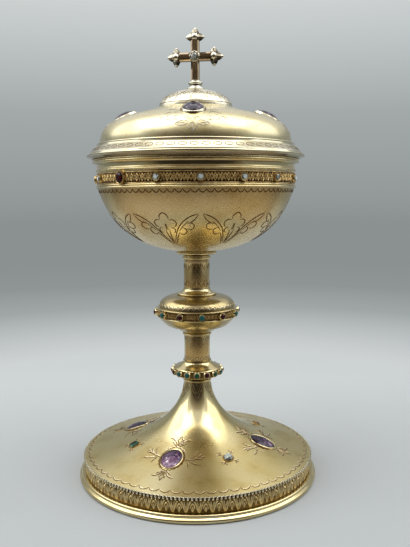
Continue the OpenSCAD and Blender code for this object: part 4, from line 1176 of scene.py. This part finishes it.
def make_stem_engraving():
    """Small leaves at both ends of the upper tube and rings of circles at the ends of the lower one."""
    height = upper_top - upper_low
    leaves = Lines()
    for base, way in ((0.0, 1), (height, -1)):
        find = UPPER_STEM.by_length(base)
        leaves.both(find, [(2.5, 0.5 * way), (1.7, 2.6 * way), (0.3, 4.4 * way)], 0.18, steps=4)
        leaves.both(find, [(0.4, 0.6 * way), (1.1, 1.8 * way), (0.5, 3.0 * way)], 0.15, steps=4)
        leaves.draw(find, [(2.92, 0.8 * way), (2.92, 3.0 * way)], 0.16, steps=4)
    worked("upper_stem_leaves", leaves, GRAVER, DARK_CUT, "cup", 8, 0)
    circles = Lines()
    for base in (1.7, stem_top - stem_low - 1.7):
        find = LOWER_STEM.by_length(base)
        circles.draw(find, arc((0, 0), 1.0, 0, 300, 5), 0.13, closed=True, steps=3)
    worked("lower_stem_circles", circles, GRAVER, WORN_AND_SHADED_CUT, "cup", 16, 0)


def make_knop():
    bead_h = (knop_low - knop_foot_low) / 2
    bead_edge = stem_r + 1
    turned("knop_foot_moulding", eased(
        [(ROD_BORE, knop_foot_low)] + round_edge(bead_edge, knop_foot_low, bead_h)
        + [(stem_r, knop_foot_low + bead_h), (knop_foot_r, knop_low), (ROD_BORE, knop_low)]), BRIGHT, "cup",
        ["knop_foot_ring"])
    turned("knop_lower_half", [(ROD_BORE, knop_low)] + knop_low_out + knop_low_in[::-1]
           + [(ROD_BORE, knop_low + SHEET)], KNOP_SATIN, "cup", ["knop_lower_shell"])
    turned("knop_upper_half", knop_top_out + [(ROD_BORE, knop_top), (ROD_BORE, knop_top - SHEET)]
           + knop_top_in[::-1], KNOP_SATIN, "cup", ["knop_upper_shell"])
    inner = knop_top_r - SHEET
    wire = GIRDLE_WIRE / 2
    turned("knop_jewelled_girdle", eased(
        [(inner, girdle_low)] + arc((KNOP_R + 0.2, girdle_low + wire), wire, -90, 90, 6) + GIRDLE.outline
        + arc((KNOP_R + 0.8, girdle_top - wire), wire, -90, 90, 6) + [(inner, girdle_top)], 0.1), BRIGHT,
        "cup", ["knop_girdle"])
    step_h = (knop_collar_top - knop_collar_low) * 0.28
    top_r = upper_r + 0.3
    turned("knop_stepped_collar", eased(
        [(ROD_BORE, knop_collar_low)] + round_edge(knop_collar_r, knop_collar_low, step_h)
        + curve((knop_collar_r - 1.2, knop_collar_low + step_h), (top_r, knop_collar_top - 0.6), (0.4, 0),
                (0.1, 0.6), 20)
        + [(top_r, knop_collar_top), (ROD_BORE, knop_collar_top)]), BRIGHT, "cup", ["knop_collar"])
    ground_edge = GIRDLE_WIRE + 0.1
    # A dark ground behind the girdle's stones: patina and painted shade.
    turned("knop_girdle_ground", plain_ring(KNOP_R - 0.3, KNOP_R + 0.04, girdle_low + ground_edge,
                                            girdle_top - ground_edge), BROWN_PATINA_AND_SHADE, "cup")
    seat = GIRDLE.seat(GIRDLE.lengths[-1] / 2, 1.2)
    first = 7.4
    stones = 12
    stone_r = 1.65
    wall = collet(2 * stone_r, 2 * stone_r, small_wall(1.42, 0.8), 24).moved(seat)
    set_round("knop_settings", wall, BRIGHT, "cup", stones, first, ["knop_collets"])
    bead = domed_stone(stone_r, 0.48, 1.2).moved(seat)
    set_round("knop_blue_stones", bead, TURQUOISE, "cup", stones // 2, first, ["knop_turquoises"])
    set_round("knop_red_stones", bead, GARNET, "cup", stones // 2, first + 360 / stones, ["knop_garnets"])
    make_knop_engraving()


def make_knop_engraving():
    """A scalloped border above the girdle, and a raised lattice between its stones."""
    scallops = 44
    border = Lines()
    find = KNOP_TOP.by_length(0.6)
    border.draw(find, scallop(math.pi * KNOP_R / scallops, 0.2, 1.5, 2.1), 0.24, steps=3)
    border.draw(find, ((0, 0.5), (0, 1.1)), 0.26, steps=2)
    worked("knop_scalloped_border", border, GRAVER, BRIGHT_CUT, "cup", scallops, 0)
    crossings = 70
    lattice = Lines()
    find = GIRDLE.by_length(GIRDLE.lengths[-1] / 2)
    lattice.crossed(find, math.pi * KNOP_R / crossings, 1.2, 0.2)
    worked("knop_girdle_lattice", lattice, CHASER, RUBBED, "cup", crossings, 0)


# Bowl
def make_bowl():
    turned("bowl_cup", [(0.0, bowl_low)] + bowl_out + [(WALL_R, ledge), (WALL_R, lip_low), (MOUTH_R, lip_low)]
           + bowl_in[::-1] + [(0.0, bowl_low + BOWL_WALL)], SATIN, "cup", ["bowl_shell"])
    turned("band_low_wire", eased(
        [(WALL_R, ledge)] + round_edge(wire_r, ledge, 1.1)
        + [(wire_r - 0.95, ledge + 1.2)] + round_edge(wire_r - 0.35, ledge + 1.15, 1.0, -70, 90)
        + [(WALL_R, band_low)], 0.08), BRIGHT, "cup", ["band_lower_wire"])
    # The band is a dark ground behind its lattice and stones: patina and painted shade.
    turned("jewelled_band", eased(plain_ring(WALL_R, band_r, band_low, band_top), 0.05), DARK_PATINA_AND_SHADE, "cup",
           ["jewel_band"])
    rim_r = band_r + 0.1
    turned("band_top_wire", eased(
        [(WALL_R, band_top), (rim_r, band_top), (rim_r, band_top + 0.8)]
        + round_edge(wire_r, band_top + 0.9, 1.2)
        + [(rim_r, band_top + 2.2), (rim_r, lip_low), (WALL_R, lip_low)], 0.08), BRIGHT, "cup",
        ["band_upper_wire"])
    edge_h = (lip_top - lip_low) * 0.18
    turned("bowl_lip_moulding", eased(
        [(MOUTH_R, lip_low), (rim_r, lip_low)]
        + curve((rim_r, lip_low + 0.2), (lip_r, lip_top - edge_h), (0.06, 0.98), (0.84, 0.0), 24)
        + [(lip_r, lip_top), (MOUTH_R, lip_top)]), BRIGHT, "cup", ["bowl_lip"])
    make_bowl_engraving()
    make_band_stones()


def make_bowl_engraving():
    """Eight flowers between leaves, drawn in degrees and levels, and a scalloped border over them."""
    find = BOWL.by_level()
    flowers = Lines()
    flowers.draw(find, ((-2.7, 151.1), (-2.8, 152.4), (-1.7, 153.7), (0, 154.4), (1.7, 153.7), (2.8, 152.4),
                        (2.7, 151.1)), 0.28)
    for path, half in (
            (((2.9, 150.6), (4.8, 150.9), (6.5, 150.3), (7.3, 149.2), (7.1, 148.2), (6.2, 147.3),
              (5.2, 147.1)), 0.28),
            (((3.2, 146.6), (4.9, 146.4), (5.7, 145.4), (5.1, 144.3), (3.7, 144.0)), 0.27),
            (((1.5, 145.3), (1.0, 142.4), (0.5, 140.0), (0.3, 138.0)), 0.27),
            (((0.9, 137.6), (4.2, 141.4), (6.9, 145.2), (9.6, 148.1), (13.3, 150.9), (16.8, 152.6),
              (19.7, 153.5), (21.2, 153.9)), 0.3),
            (((21.2, 153.5), (19.2, 151.1), (16.7, 149.5), (14.0, 148.8)), 0.27),
            (((14.0, 148.8), (16.5, 149.1), (18.2, 148.5), (18.7, 147.4), (17.7, 146.2), (15.7, 145.7),
              (13.8, 146.0)), 0.27),
            (((10.1, 146.6), (12.0, 146.4), (13.4, 145.4), (13.2, 144.2), (11.7, 143.2), (9.6, 143.2),
              (8.5, 144.0)), 0.27),
            (((8.5, 144.3), (6.2, 142.0), (4.4, 139.9), (2.2, 137.4)), 0.27),
            (((8.0, 144.6), (11.5, 147.6), (15.5, 150.3)), 0.2)):
        flowers.both(find, path, half)
    flowers.both(find, ((0.6, 145.2), (0.3, 147.2), (0.4, 149.0)), 0.2)
    worked("bowl_flowers", flowers, GRAVER, DARK_CUT, "cup", 8, -19.2)
    scallops = 88
    border = Lines()
    border.draw(find, scallop(180 / scallops, 166.5, 165.2, 164.6, 0.62), 0.27, steps=3)
    worked("bowl_scalloped_border", border, GRAVER, DARK_CUT, "cup", scallops, 0)


def make_band_stones():
    """A raised lattice on the band, and over it sixteen stones: in each half seven crystals and a garnet."""
    crossings = 104
    half = math.pi * band_r / crossings
    find = BAND.by_length((band_top - band_low) / 2)
    lattice = Lines()
    lattice.crossed(find, half, 1.9, 0.34)
    lattice.draw(find, ((0, -0.5), (0.5, 0), (0, 0.5), (-0.5, 0)), 0.26, closed=True, steps=2)
    for level in (-2.75, 2.75):
        lattice.draw(find, ((-half, level), (0, level), (half, level)), 0.26, steps=1, taper=1)
    worked("band_lattice", lattice, CHASER, RUBBED, "cup", crossings, 0)
    seat = BAND.seat(BAND.lengths[-1] / 2, 0.5)
    first = 3
    step = 360 / 16
    garnet_place = 6
    crystal = 3.6
    garnet = (6.0, 5.4)
    walls = Shape()
    whites = Shape()
    for k in range(8):
        place = swing(step * k) @ seat
        if k == garnet_place:
            walls.join(collet(*garnet, small_wall(0.62, 1.1), 24).moved(place))
        else:
            walls.join(collet(crystal, crystal, small_wall(0.6, 1.0), 24).moved(place))
            whites.join(cut_stone(crystal, crystal, 0.72, 0.81, 20 + k).moved(place))
    set_round("band_settings", walls, RUBBED, "cup", 2, first, ["band_collets"])
    set_round("band_crystals", whites, CRYSTAL, "cup", 2, first, ["band_white_stones"], flat=True)
    set_round("band_red_garnets", cut_stone(*garnet, 0.88, 1.3, 31).moved(seat), GARNET, "cup", 2,
              first + step * garnet_place, ["band_garnets"], flat=True)


# Lid
def make_lid():
    tube_r = MOUTH_R - 0.4
    rim_low = flange_top - 1
    turned("lid_locating_flange", eased(
        [(tube_r - SHEET, flange_low), (tube_r, flange_low), (tube_r, rim_low), (flange_r, rim_low),
         (flange_r, flange_top), (tube_r - SHEET, flange_top)], 0.12), SATIN, "flange", ["lid_flange"])
    slope_top = dome_r + 1.6
    foot_in = flange_r - SHEET
    turned("lid_brim_moulding", eased(
        [(foot_in, brim_low), (brim_r - 2.4, brim_low), (brim_r - 2.2, brim_low + 1.0),
         (brim_r - 0.3, brim_low + 1.2), (brim_r, brim_low + 1.4)]
        + round_edge(brim_r, brim_low + 1.4, 1.0, 0, 95)
        + [(brim_r - 1.3, brim_low + 2.3), (brim_r - 1.36, brim_low + 3.2)] + BRIM_SLOPE.outline
        + [(slope_top + 0.5, dome_low - 1.8), (slope_top + 0.46, dome_low - 0.95)]
        + round_edge(slope_top + 0.45, dome_low - 1.0, 1.0, -20, 90)
        + [(slope_top - 0.9, dome_low), (dome_r - SHEET, dome_low), (dome_r - SHEET, dome_low - SHEET),
           (slope_top - SHEET, dome_low - 0.9 - SHEET), (foot_in, brim_low + 2)], 0.14), BRIM_GILT, "lid",
        ["lid_brim"])
    turned("lid_dome_shell", dome_out + [(STUD_BORE, dome_top), (STUD_BORE, dome_top - SHEET)]
           + dome_in[::-1], DOME_SATIN, "lid", ["lid_dome"])
    turned("lid_cap_shell", [(cap_r - SHEET, cap_low), (cap_r, cap_low)] + cap_out
           + [(STUD_BORE, cap_top), (STUD_BORE, cap_top - SHEET)] + cap_in[::-1], CAP_SATIN, "lid",
           ["lid_cap"])
    make_lid_stones()
    make_lid_engraving()


def make_lid_stones():
    length = 14.0
    width = 10.8
    lift = 0.3
    bed = 2.4
    depth = 0.75 * SHEET
    seat = DOME.seat(DOME.along(0, STONE_R), lift) @ swing(6, "X")
    wall = bedded(collet(length, width, large_wall(bed)), seat, DOME, depth)
    # A dark ring round each collet's foot is painted shadow.
    shadow_ring = bedded(collet(length, width, painted_shadow_ring(bed, -lift)), seat, DOME, depth)
    oval = mixed_cut_stone(length, width, 0.6, 2.5, 9, 0.12).moved(seat)
    set_round("lid_amethyst_settings", wall, PALE_BRIGHT, "lid", 4, LID_FIRST, ["lid_amethyst_collets"])
    set_round("lid_amethyst_seams", shadow_ring, DARK_CUT, "lid", 4, LID_FIRST)
    set_round("lid_amethyst_stones", oval, AMETHYST, "lid", 4, LID_FIRST, ["lid_amethysts"], flat=True)


def make_lid_engraving():
    """Sprays on the dome, drawn in degrees and levels, leaves on the cap, and ovals on the brim's slope."""
    find = DOME.by_level()
    spray = Lines()
    spray.draw(find, ((0, 198.6), (1.5, 197.5), (2.8, 196.5), (1.5, 195.1), (0, 193.5), (-1.5, 195.1),
                      (-2.8, 196.5), (-1.5, 197.5)), 0.22, closed=True, steps=3)
    spray.draw(find, ((0, 197.3), (0.55, 195.7), (0, 194.1), (-0.55, 195.7)), 0.28, closed=True, steps=3)
    for path, half in (
            (((2.0, 198.4), (3.8, 199.6), (6.0, 199.4), (8.1, 198.6), (9.4, 197.8)), 0.24),
            (((2.4, 198.1), (4.7, 197.1), (6.9, 197.0), (9.4, 197.8)), 0.26),
            (((4.2, 198.4), (6.5, 198.3), (8.4, 197.9)), 0.2),
            (((0.4, 199.0), (1.8, 201.0), (3.6, 201.6)), 0.2),
            (((7.5, 202.0), (10.0, 202.3), (11.1, 201.3), (10.0, 199.9), (8.5, 200.3)), 0.22),
            (((13.6, 203.1), (15.3, 202.1), (14.9, 200.6), (13.3, 200.2), (12.8, 200.9)), 0.22),
            (((6.3, 203.2), (8.2, 205.2)), 0.26),
            (((7.3, 202.9), (9.3, 204.9)), 0.22),
            (((9.6, 203.6), (12.0, 204.6), (15.0, 204.4), (17.6, 203.0)), 0.22),
            (((16.4, 202.0), (18.2, 201.4), (19.4, 200.0)), 0.2),
            (((11.8, 206.0), (15.0, 206.6), (18.4, 206.0)), 0.22),
            (((1.2, 210.3), (3.4, 210.9), (6.0, 210.9)), 0.22)):
        spray.both(find, path, half, steps=4)
    cut_with_painted_light("lid_sprays", spray, "lid", 4, LID_FIRST, WORN_AND_SHADED_CUT, PALE_HIGHLIGHT_CUT)
    find = CAP.by_length(0.0)
    leaves = Lines()
    leaves.both(find, ((4.3, 1.7), (3.7, 4.6), (2.0, 8.0), (0.0, 10.6)), 0.22, steps=4)
    leaves.draw(find, ((0.0, 2.0), (0.0, 8.6)), 0.2, steps=4)
    leaves.both(find, ((0.0, 3.2), (1.4, 4.8), (2.6, 5.6)), 0.2, steps=4)
    leaves.both(find, ((0.0, 5.4), (1.0, 6.8), (1.7, 7.3)), 0.2, steps=4)
    leaf_count = 14
    half = math.pi * cap_r / leaf_count
    leaves.draw(find, ((-half, 0.9), (0.0, 0.9), (half, 0.9)), 0.24, steps=3, taper=1)
    worked("cap_leaves", leaves, GRAVER, WORN_AND_SHADED_CUT, "lid", leaf_count, 6)
    find = BRIM_SLOPE.by_length(BRIM_SLOPE.lengths[-1] / 2)
    row = Lines()
    row.draw(find, ((-2.1, 0), (-1.2, 0.95), (1.2, 0.95), (2.1, 0), (1.2, -0.95), (-1.2, -0.95)), 0.2,
             closed=True, steps=2)
    row.draw(find, ((-0.9, 0), (0.9, 0)), 0.2, steps=2)
    worked("brim_ovals", row, GRAVER, WORN_AND_SHADED_CUT, "lid", 64, 0)


# Finial
def make_finial():
    """A plinth, a hollow neck and a bead under the cross."""
    height = cross_low - finial_low
    plinth = height * 0.22
    bead_start = finial_low + height * 0.58
    bead_h = height * 0.28
    bead_edge = finial_r - 0.7
    top_r = 2.58
    turned("finial_foot", eased(
        [(STUD_BORE, finial_low)] + round_edge(finial_r + 0.3, finial_low, plinth)
        + [(finial_r - 1.2, finial_low + plinth), (finial_r - 1.5, finial_low + height * 0.4),
           (finial_r - 1.2, bead_start)]
        + round_edge(bead_edge, bead_start, bead_h)
        + [(top_r, bead_start + bead_h + 0.1), (top_r, cross_low), (STUD_BORE, cross_low)], 0.1), SILVERED,
        "lid", ["finial_base"])
    make_cross()


# The cross in mm: width of its bars, height of the crossing, reach of an arm's bar, how far out the arm's
# leaves meet, and length of a leaf
BAR = 4.6
CROSSING = 12.8
ARM = 8.8
FLEURON = 10.7
LEAF = 4.8


def eight_sided_bar(start, end):
    """A bar up local Z with its edges planed flat and then eased."""
    outline = eased(cut_corners(BAR / 2, BAR / 2, BAR * 0.2), 0.16)
    points, faces = rings([[(x, y, level) for x, y in outline] for level in (start, end)])
    count = len(outline)
    faces += [tuple(reversed(range(count))), tuple(range(count, 2 * count))]
    return Shape().extend(points, faces)


def pointed_leaf():
    """A ridged leaf along local X, hollowed each side of its ridge."""
    loops = []
    for along, wide, thick in ((-0.3, 0.75, 0.7), (0.1, 1.0, 0.9), (0.32, 1.22, 1.0), (0.6, 1.12, 0.9),
                               (0.85, 0.7, 0.62), (1.0, 0.34, 0.42)):
        w = LEAF * 0.38 * wide
        t = 1.5 * thick
        loops.append([(LEAF * along, y, z) for y, z in (
            (0, t), (-w * 0.5, t * 0.5), (-w, t * 0.3), (-w, -t * 0.3), (-w * 0.5, -t * 0.5), (0, -t),
            (w * 0.5, -t * 0.5), (w, -t * 0.3), (w, t * 0.3), (w * 0.5, t * 0.5))])
    points, faces = rings(loops)
    faces += [tuple(reversed(range(10))), tuple(range(len(points) - 10, len(points)))]
    return Shape().extend(points, faces)


def make_cross():
    """Octagonal bars, each arm ended by three ridged leaves about a bud, and a stone at the crossing."""
    place = Matrix.Translation((0, 0, cross_low)) @ swing(-9)
    crossing = place @ Matrix.Translation((0, 0, CROSSING))
    bars = eight_sided_bar(0, CROSSING + ARM).moved(place)
    bars.join(eight_sided_bar(-ARM, ARM).moved(crossing @ swing(90, "Y")))
    leaves = Shape()
    tips = Shape()
    buds = Shape()
    for turn in (0, 90, 180):
        arm = crossing @ swing(-turn, "Y") @ Matrix.Translation((FLEURON, 0, 0))
        for way in (-90, 0, 90):
            spoke = arm @ swing(way, "Y")
            leaves.join(pointed_leaf().moved(spoke @ swing(90, "X")))
            tips.join(ball(0.85, (LEAF - 0.35, 0, 0), 12, 8).moved(spoke))
        for side in (-1, 1):
            buds.join(ball(1.95, (0, side * 2.2, 0), 16, 10).moved(arm))
            for k in range(6):
                a = math.radians(60 * k + 30)
                buds.join(ball(0.5, (1.75 * math.cos(a), side * 1.75, 1.75 * math.sin(a)), 8, 5).moved(arm))
    buds.join(tips)
    set_round("cross_bars", bars, DARKENED, "lid", 1, 0)
    set_round("cross_leaves", leaves, TARNISHED, "lid", 1, 0, ["cross"])
    set_round("cross_bud_balls", buds, SILVERED, "lid", 1, 0, ["cross_buds"])
    front = crossing @ Matrix.Translation((0, -BAR / 2, 0)) @ swing(90, "X")
    across = 4.0
    rosette = collet(across, across, ((0.08, -0.4), (1.0, -0.4), (1.0, 0.6), (0.7, 1.0), (0.3, 1.2),
                                      (-0.1, 1.15), (0.08, 0.7)), 32)
    for k in range(8):
        a = math.radians(45 * k)
        rosette.join(ball(0.6, (2.6 * math.cos(a), 2.6 * math.sin(a), 0.8), 10, 6))
    set_round("crossing_rosette", rosette.moved(front), TARNISHED, "lid", 1, 0, ["cross_setting"])
    crystal = cut_stone(across, across, 0.8, 0.9, 41).moved(front @ Matrix.Translation((0, 0, 0.5)))
    set_round("crossing_crystal", crystal, CRYSTAL, "lid", 1, 0, ["cross_stone"], flat=True)


def finish_fixings():
    """The rod, stud, nuts, washers and socket inside keep the frame's shapes and get their finish."""
    for name, finish in (
            ("tie_rod", STEEL), ("foot_washer", STEEL), ("foot_nut", STEEL), ("finial_stud", STEEL),
            ("finial_washer", STEEL), ("finial_nut", STEEL), ("bowl_socket", SATIN)):
        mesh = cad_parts[name].data
        mesh.materials.clear()
        mesh.materials.append(finish)


# Stage
def seen_directly(tree):
    """1 for rays from the camera, a mirroring face or glass, and 0 for those that only carry light."""
    ray = add(tree, "ShaderNodeLightPath")
    shown = add(tree, "ShaderNodeMath", {0: ray.outputs["Is Camera Ray"], 1: ray.outputs["Is Glossy Ray"]},
                operation="MAXIMUM")
    through = add(tree, "ShaderNodeMath", {0: shown.outputs["Value"], 1: ray.outputs["Is Transmission Ray"]},
                  operation="MAXIMUM")
    return through.outputs["Value"]


def make_floor():
    """A pale table top. Near the cup it is lit and holds the shadow; farther out it fades into the grey
    that stands behind the cup, also in reflections."""
    radius = 3.0
    steps = 96
    mesh = bpy.data.meshes.new("table_top")
    ring = oval_ring(2 * radius, 2 * radius, 0, steps)
    mesh.from_pydata(ring, [], [tuple(range(steps))])
    floor = bpy.data.objects.new("table_top", mesh)
    bpy.context.scene.collection.objects.link(floor)
    material, tree = fresh("pale_table")
    place = add(tree, "ShaderNodeTexCoord").outputs["Object"]
    away = add(tree, "ShaderNodeVectorMath", {0: place}, operation="LENGTH")
    grain = add(tree, "ShaderNodeTexNoise", {"Vector": place, "Scale": 1 / (40 * MM), "Detail": 3.0})
    parts = add(tree, "ShaderNodeSeparateXYZ", {"Vector": place})
    back = add(tree, "ShaderNodeMapRange", {"Value": parts.outputs["Y"], "From Min": -0.2, "From Max": 0.3})
    paler = add(tree, "ShaderNodeMath", {0: grain.outputs["Fac"], 1: 0.1, 2: back.outputs["Result"]},
                operation="MULTIPLY_ADD")
    tone = add(tree, "ShaderNodeValToRGB", {"Fac": paler.outputs["Value"]},
               ((0.15, "#ADB1B2"), (0.85, "#C2C6C7"))).outputs["Color"]
    lit = add(tree, "ShaderNodeBsdfDiffuse", {"Color": tone})
    share = add(tree, "ShaderNodeMapRange", {"Value": away.outputs["Value"], "From Max": 2.0})
    far = add(tree, "ShaderNodeValToRGB", {"Fac": share.outputs["Result"]}, (
        (0.15, "#CFD4D3"), (0.21, "#BCC1C1"), (0.29, "#A0A6A6"), (0.41, "#8F9595"), (0.6, "#8B9191"),
        (1.0, "#8B9191"))).outputs["Color"]
    glow = add(tree, "ShaderNodeEmission", {"Color": far, "Strength": 1.0})
    fade = add(tree, "ShaderNodeMapRange", {"Value": away.outputs["Value"], "From Min": 0.2,
                                            "From Max": 0.36}, interpolation_type="SMOOTHSTEP")
    faded = add(tree, "ShaderNodeMath", {0: seen_directly(tree), 1: fade.outputs["Result"]},
                operation="MULTIPLY")
    mixed = add(tree, "ShaderNodeMixShader", {"Fac": faded.outputs["Value"], 1: lit.outputs["BSDF"],
                                              2: glow.outputs["Emission"]})
    add(tree, "ShaderNodeOutputMaterial", {"Surface": mixed.outputs["Shader"]})
    mesh.materials.append(material)


def make_room():
    """A grey studio: the camera and reflections see a wall that lightens upwards."""
    world = bpy.data.worlds.new("studio_room")
    bpy.context.scene.world = world
    world.use_nodes = True
    tree = world.node_tree
    tree.nodes.clear()
    way = add(tree, "ShaderNodeTexCoord").outputs["Generated"]
    parts = add(tree, "ShaderNodeSeparateXYZ", {"Vector": way})
    rise = add(tree, "ShaderNodeMapRange", {"Value": parts.outputs["Z"], "From Min": -0.1, "From Max": 0.8})
    wall = add(tree, "ShaderNodeValToRGB", {"Fac": rise.outputs["Result"]}, (
        (0.067, "#8B9191"), (0.113, "#949A9A"), (0.247, "#A3A9A9"), (0.333, "#B9BFBF"), (0.427, "#CFD4D3"),
        (0.62, "#EEF0F0"), (0.8, "#FFFFFF"))).outputs["Color"]
    seen = add(tree, "ShaderNodeBackground", {"Color": wall, "Strength": 1.0})
    fill = add(tree, "ShaderNodeBackground", {"Color": linear("#E8ECEE"), "Strength": 0.4})
    mixed = add(tree, "ShaderNodeMixShader", {"Fac": seen_directly(tree), 1: fill.outputs["Background"],
                                              2: seen.outputs["Background"]})
    add(tree, "ShaderNodeOutputWorld", {"Surface": mixed.outputs["Shader"]})


# About the middle of the cup, in metres
CUP_MIDDLE = Vector((0, 0, 0.13))


def round_about(azimuth, elevation, away):
    """A place seen from the middle of the cup, in metres."""
    a = math.radians(azimuth)
    e = math.radians(elevation)
    way = Vector((math.cos(e) * math.sin(a), -math.cos(e) * math.cos(a), math.sin(e)))
    return CUP_MIDDLE + away * way


def soft_light(name, place, size, radiance):
    """An oblong soft light that the camera doesn't see, turned to the middle of the cup."""
    lamp = bpy.data.lights.new(name, "AREA")
    lamp.shape = "RECTANGLE"
    lamp.size = size[0]
    lamp.size_y = size[1]
    lamp.energy = radiance * math.pi * size[0] * size[1]
    light = bpy.data.objects.new(name, lamp)
    light.location = place
    light.rotation_euler = (CUP_MIDDLE - place).to_track_quat("-Z", "Y").to_euler()
    light.visible_camera = False
    bpy.context.scene.collection.objects.link(light)


def make_lights():
    """Large soft windows left and right, a wide light close over the cup, and a small one each side in
    front of it."""
    soft_light("left_window", round_about(-90, 37, 0.85), (0.8, 0.72), 1.75)
    soft_light("right_window", round_about(90, 37, 0.85), (0.74, 0.68), 1.58)
    soft_light("overhead_light", Vector((0, -0.02, 0.62)), (0.7, 0.4), 2.5)
    soft_light("left_front_light", Vector((-0.27, -0.21, 0.57)), (0.32, 0.28), 2.1)
    soft_light("right_front_light", Vector((0.27, -0.21, 0.57)), (0.3, 0.26), 1.8)


def make_flags():
    """What the metal mirrors, seen by reflections alone: dark cloth behind the camera, a table painted darker
    away from the cup as shade, in front of it and to its sides, and a low screen behind the cup that glows a
    painted grey."""
    cloth, tree = fresh("cloth_and_painted_shade")
    place = add(tree, "ShaderNodeTexCoord").outputs["Object"]
    squeezed = add(tree, "ShaderNodeVectorMath", {0: place, 1: (0.62, 1.0, 1.0)}, operation="MULTIPLY")
    away = add(tree, "ShaderNodeVectorMath", {0: squeezed.outputs["Vector"]}, operation="LENGTH")
    weave = add(tree, "ShaderNodeTexNoise", {"Vector": place, "Scale": 1 / (6 * MM), "Detail": 2.0})
    worn = add(tree, "ShaderNodeMath", {0: weave.outputs["Fac"], 1: 0.02, 2: away.outputs["Value"]},
               operation="MULTIPLY_ADD")
    # Round the cup this tone paints the table's shade for reflections, darker away from the cup.
    tone = add(tree, "ShaderNodeValToRGB", {"Fac": worn.outputs["Value"]},
               ((0.14, "#BDB3A8"), (0.21, "#A89C8F"), (0.29, "#7F7263"), (0.38, "#4A3E33"), (0.44, "#1C1610"),
                (0.488, "#1C1610"), (0.53, "#7E7264"), (0.6, "#A89E92")))
    shader = add(tree, "ShaderNodeBsdfPrincipled", {"Base Color": tone.outputs["Color"], "Roughness": 0.9})
    add(tree, "ShaderNodeOutputMaterial", {"Surface": shader.outputs["BSDF"]})
    # The screen is a glow in painted grey, not a lit surface.
    grey, tree = fresh("painted_glow_screen")
    glow = add(tree, "ShaderNodeEmission", {"Color": linear("#A4A8A8"), "Strength": 1.0})
    add(tree, "ShaderNodeOutputMaterial", {"Surface": glow.outputs["Emission"]})
    inner = 0.13
    outer = 0.9
    level = 0.001
    steps = 32
    turns = [math.radians(-115 + 230 * i / steps) for i in range(steps + 1)]
    table = [(r * math.sin(a), -r * math.cos(a), level) for r in (inner, outer) for a in turns]
    table_faces = [(i, i + steps + 1, i + steps + 2, i + 1) for i in range(steps)]
    front = -0.42
    hung = [(x, front, z) for x, z in (
        (-0.55, 0.03), (0.55, 0.03), (0.5, 0.34), (0.2, 0.46), (-0.2, 0.46), (-0.5, 0.34))]
    behind = 0.5
    screen = [(x, behind, z) for x, z in ((-0.7, 0.16), (0.7, 0.16), (0.7, 0.4), (-0.7, 0.4))]
    for name, finish, corners, faces in (
            ("cloth_behind_camera", cloth, hung, [tuple(range(6))]),
            ("cloth_on_table", cloth, table, table_faces),
            ("screen_behind_cup", grey, screen, [tuple(range(4))])):
        mesh = bpy.data.meshes.new(name)
        mesh.from_pydata(corners, [], faces)
        mesh.materials.append(finish)
        flag = bpy.data.objects.new(name, mesh)
        flag.visible_camera = False
        flag.visible_diffuse = False
        flag.visible_shadow = False
        bpy.context.scene.collection.objects.link(flag)


def make_camera():
    """Placed as fitted to the outlines of the foot, the bowl and the lid."""
    focal_pixels = 643.4
    picture_pixels = 547
    data = bpy.data.cameras.new("photo_camera")
    data.sensor_width = 36.0
    data.lens = focal_pixels / picture_pixels * data.sensor_width
    camera = bpy.data.objects.new("photo_camera", data)
    pitch = 6.83
    roll = -0.273
    place = Matrix.Translation((0.004853, -0.37266, 0.16245))
    camera.matrix_world = place @ swing(90 - pitch, "X") @ swing(roll)
    bpy.context.scene.collection.objects.link(camera)
    bpy.context.scene.camera = camera


make_foot()
make_stem()
make_knop()
make_bowl()
make_lid()
make_finial()
finish_fixings()
for spare in (GRAVER, CHASER):
    bpy.data.objects.remove(spare)
make_floor()
make_room()
make_lights()
make_flags()
make_camera()
bpy.context.scene.view_settings.view_transform = "Standard"
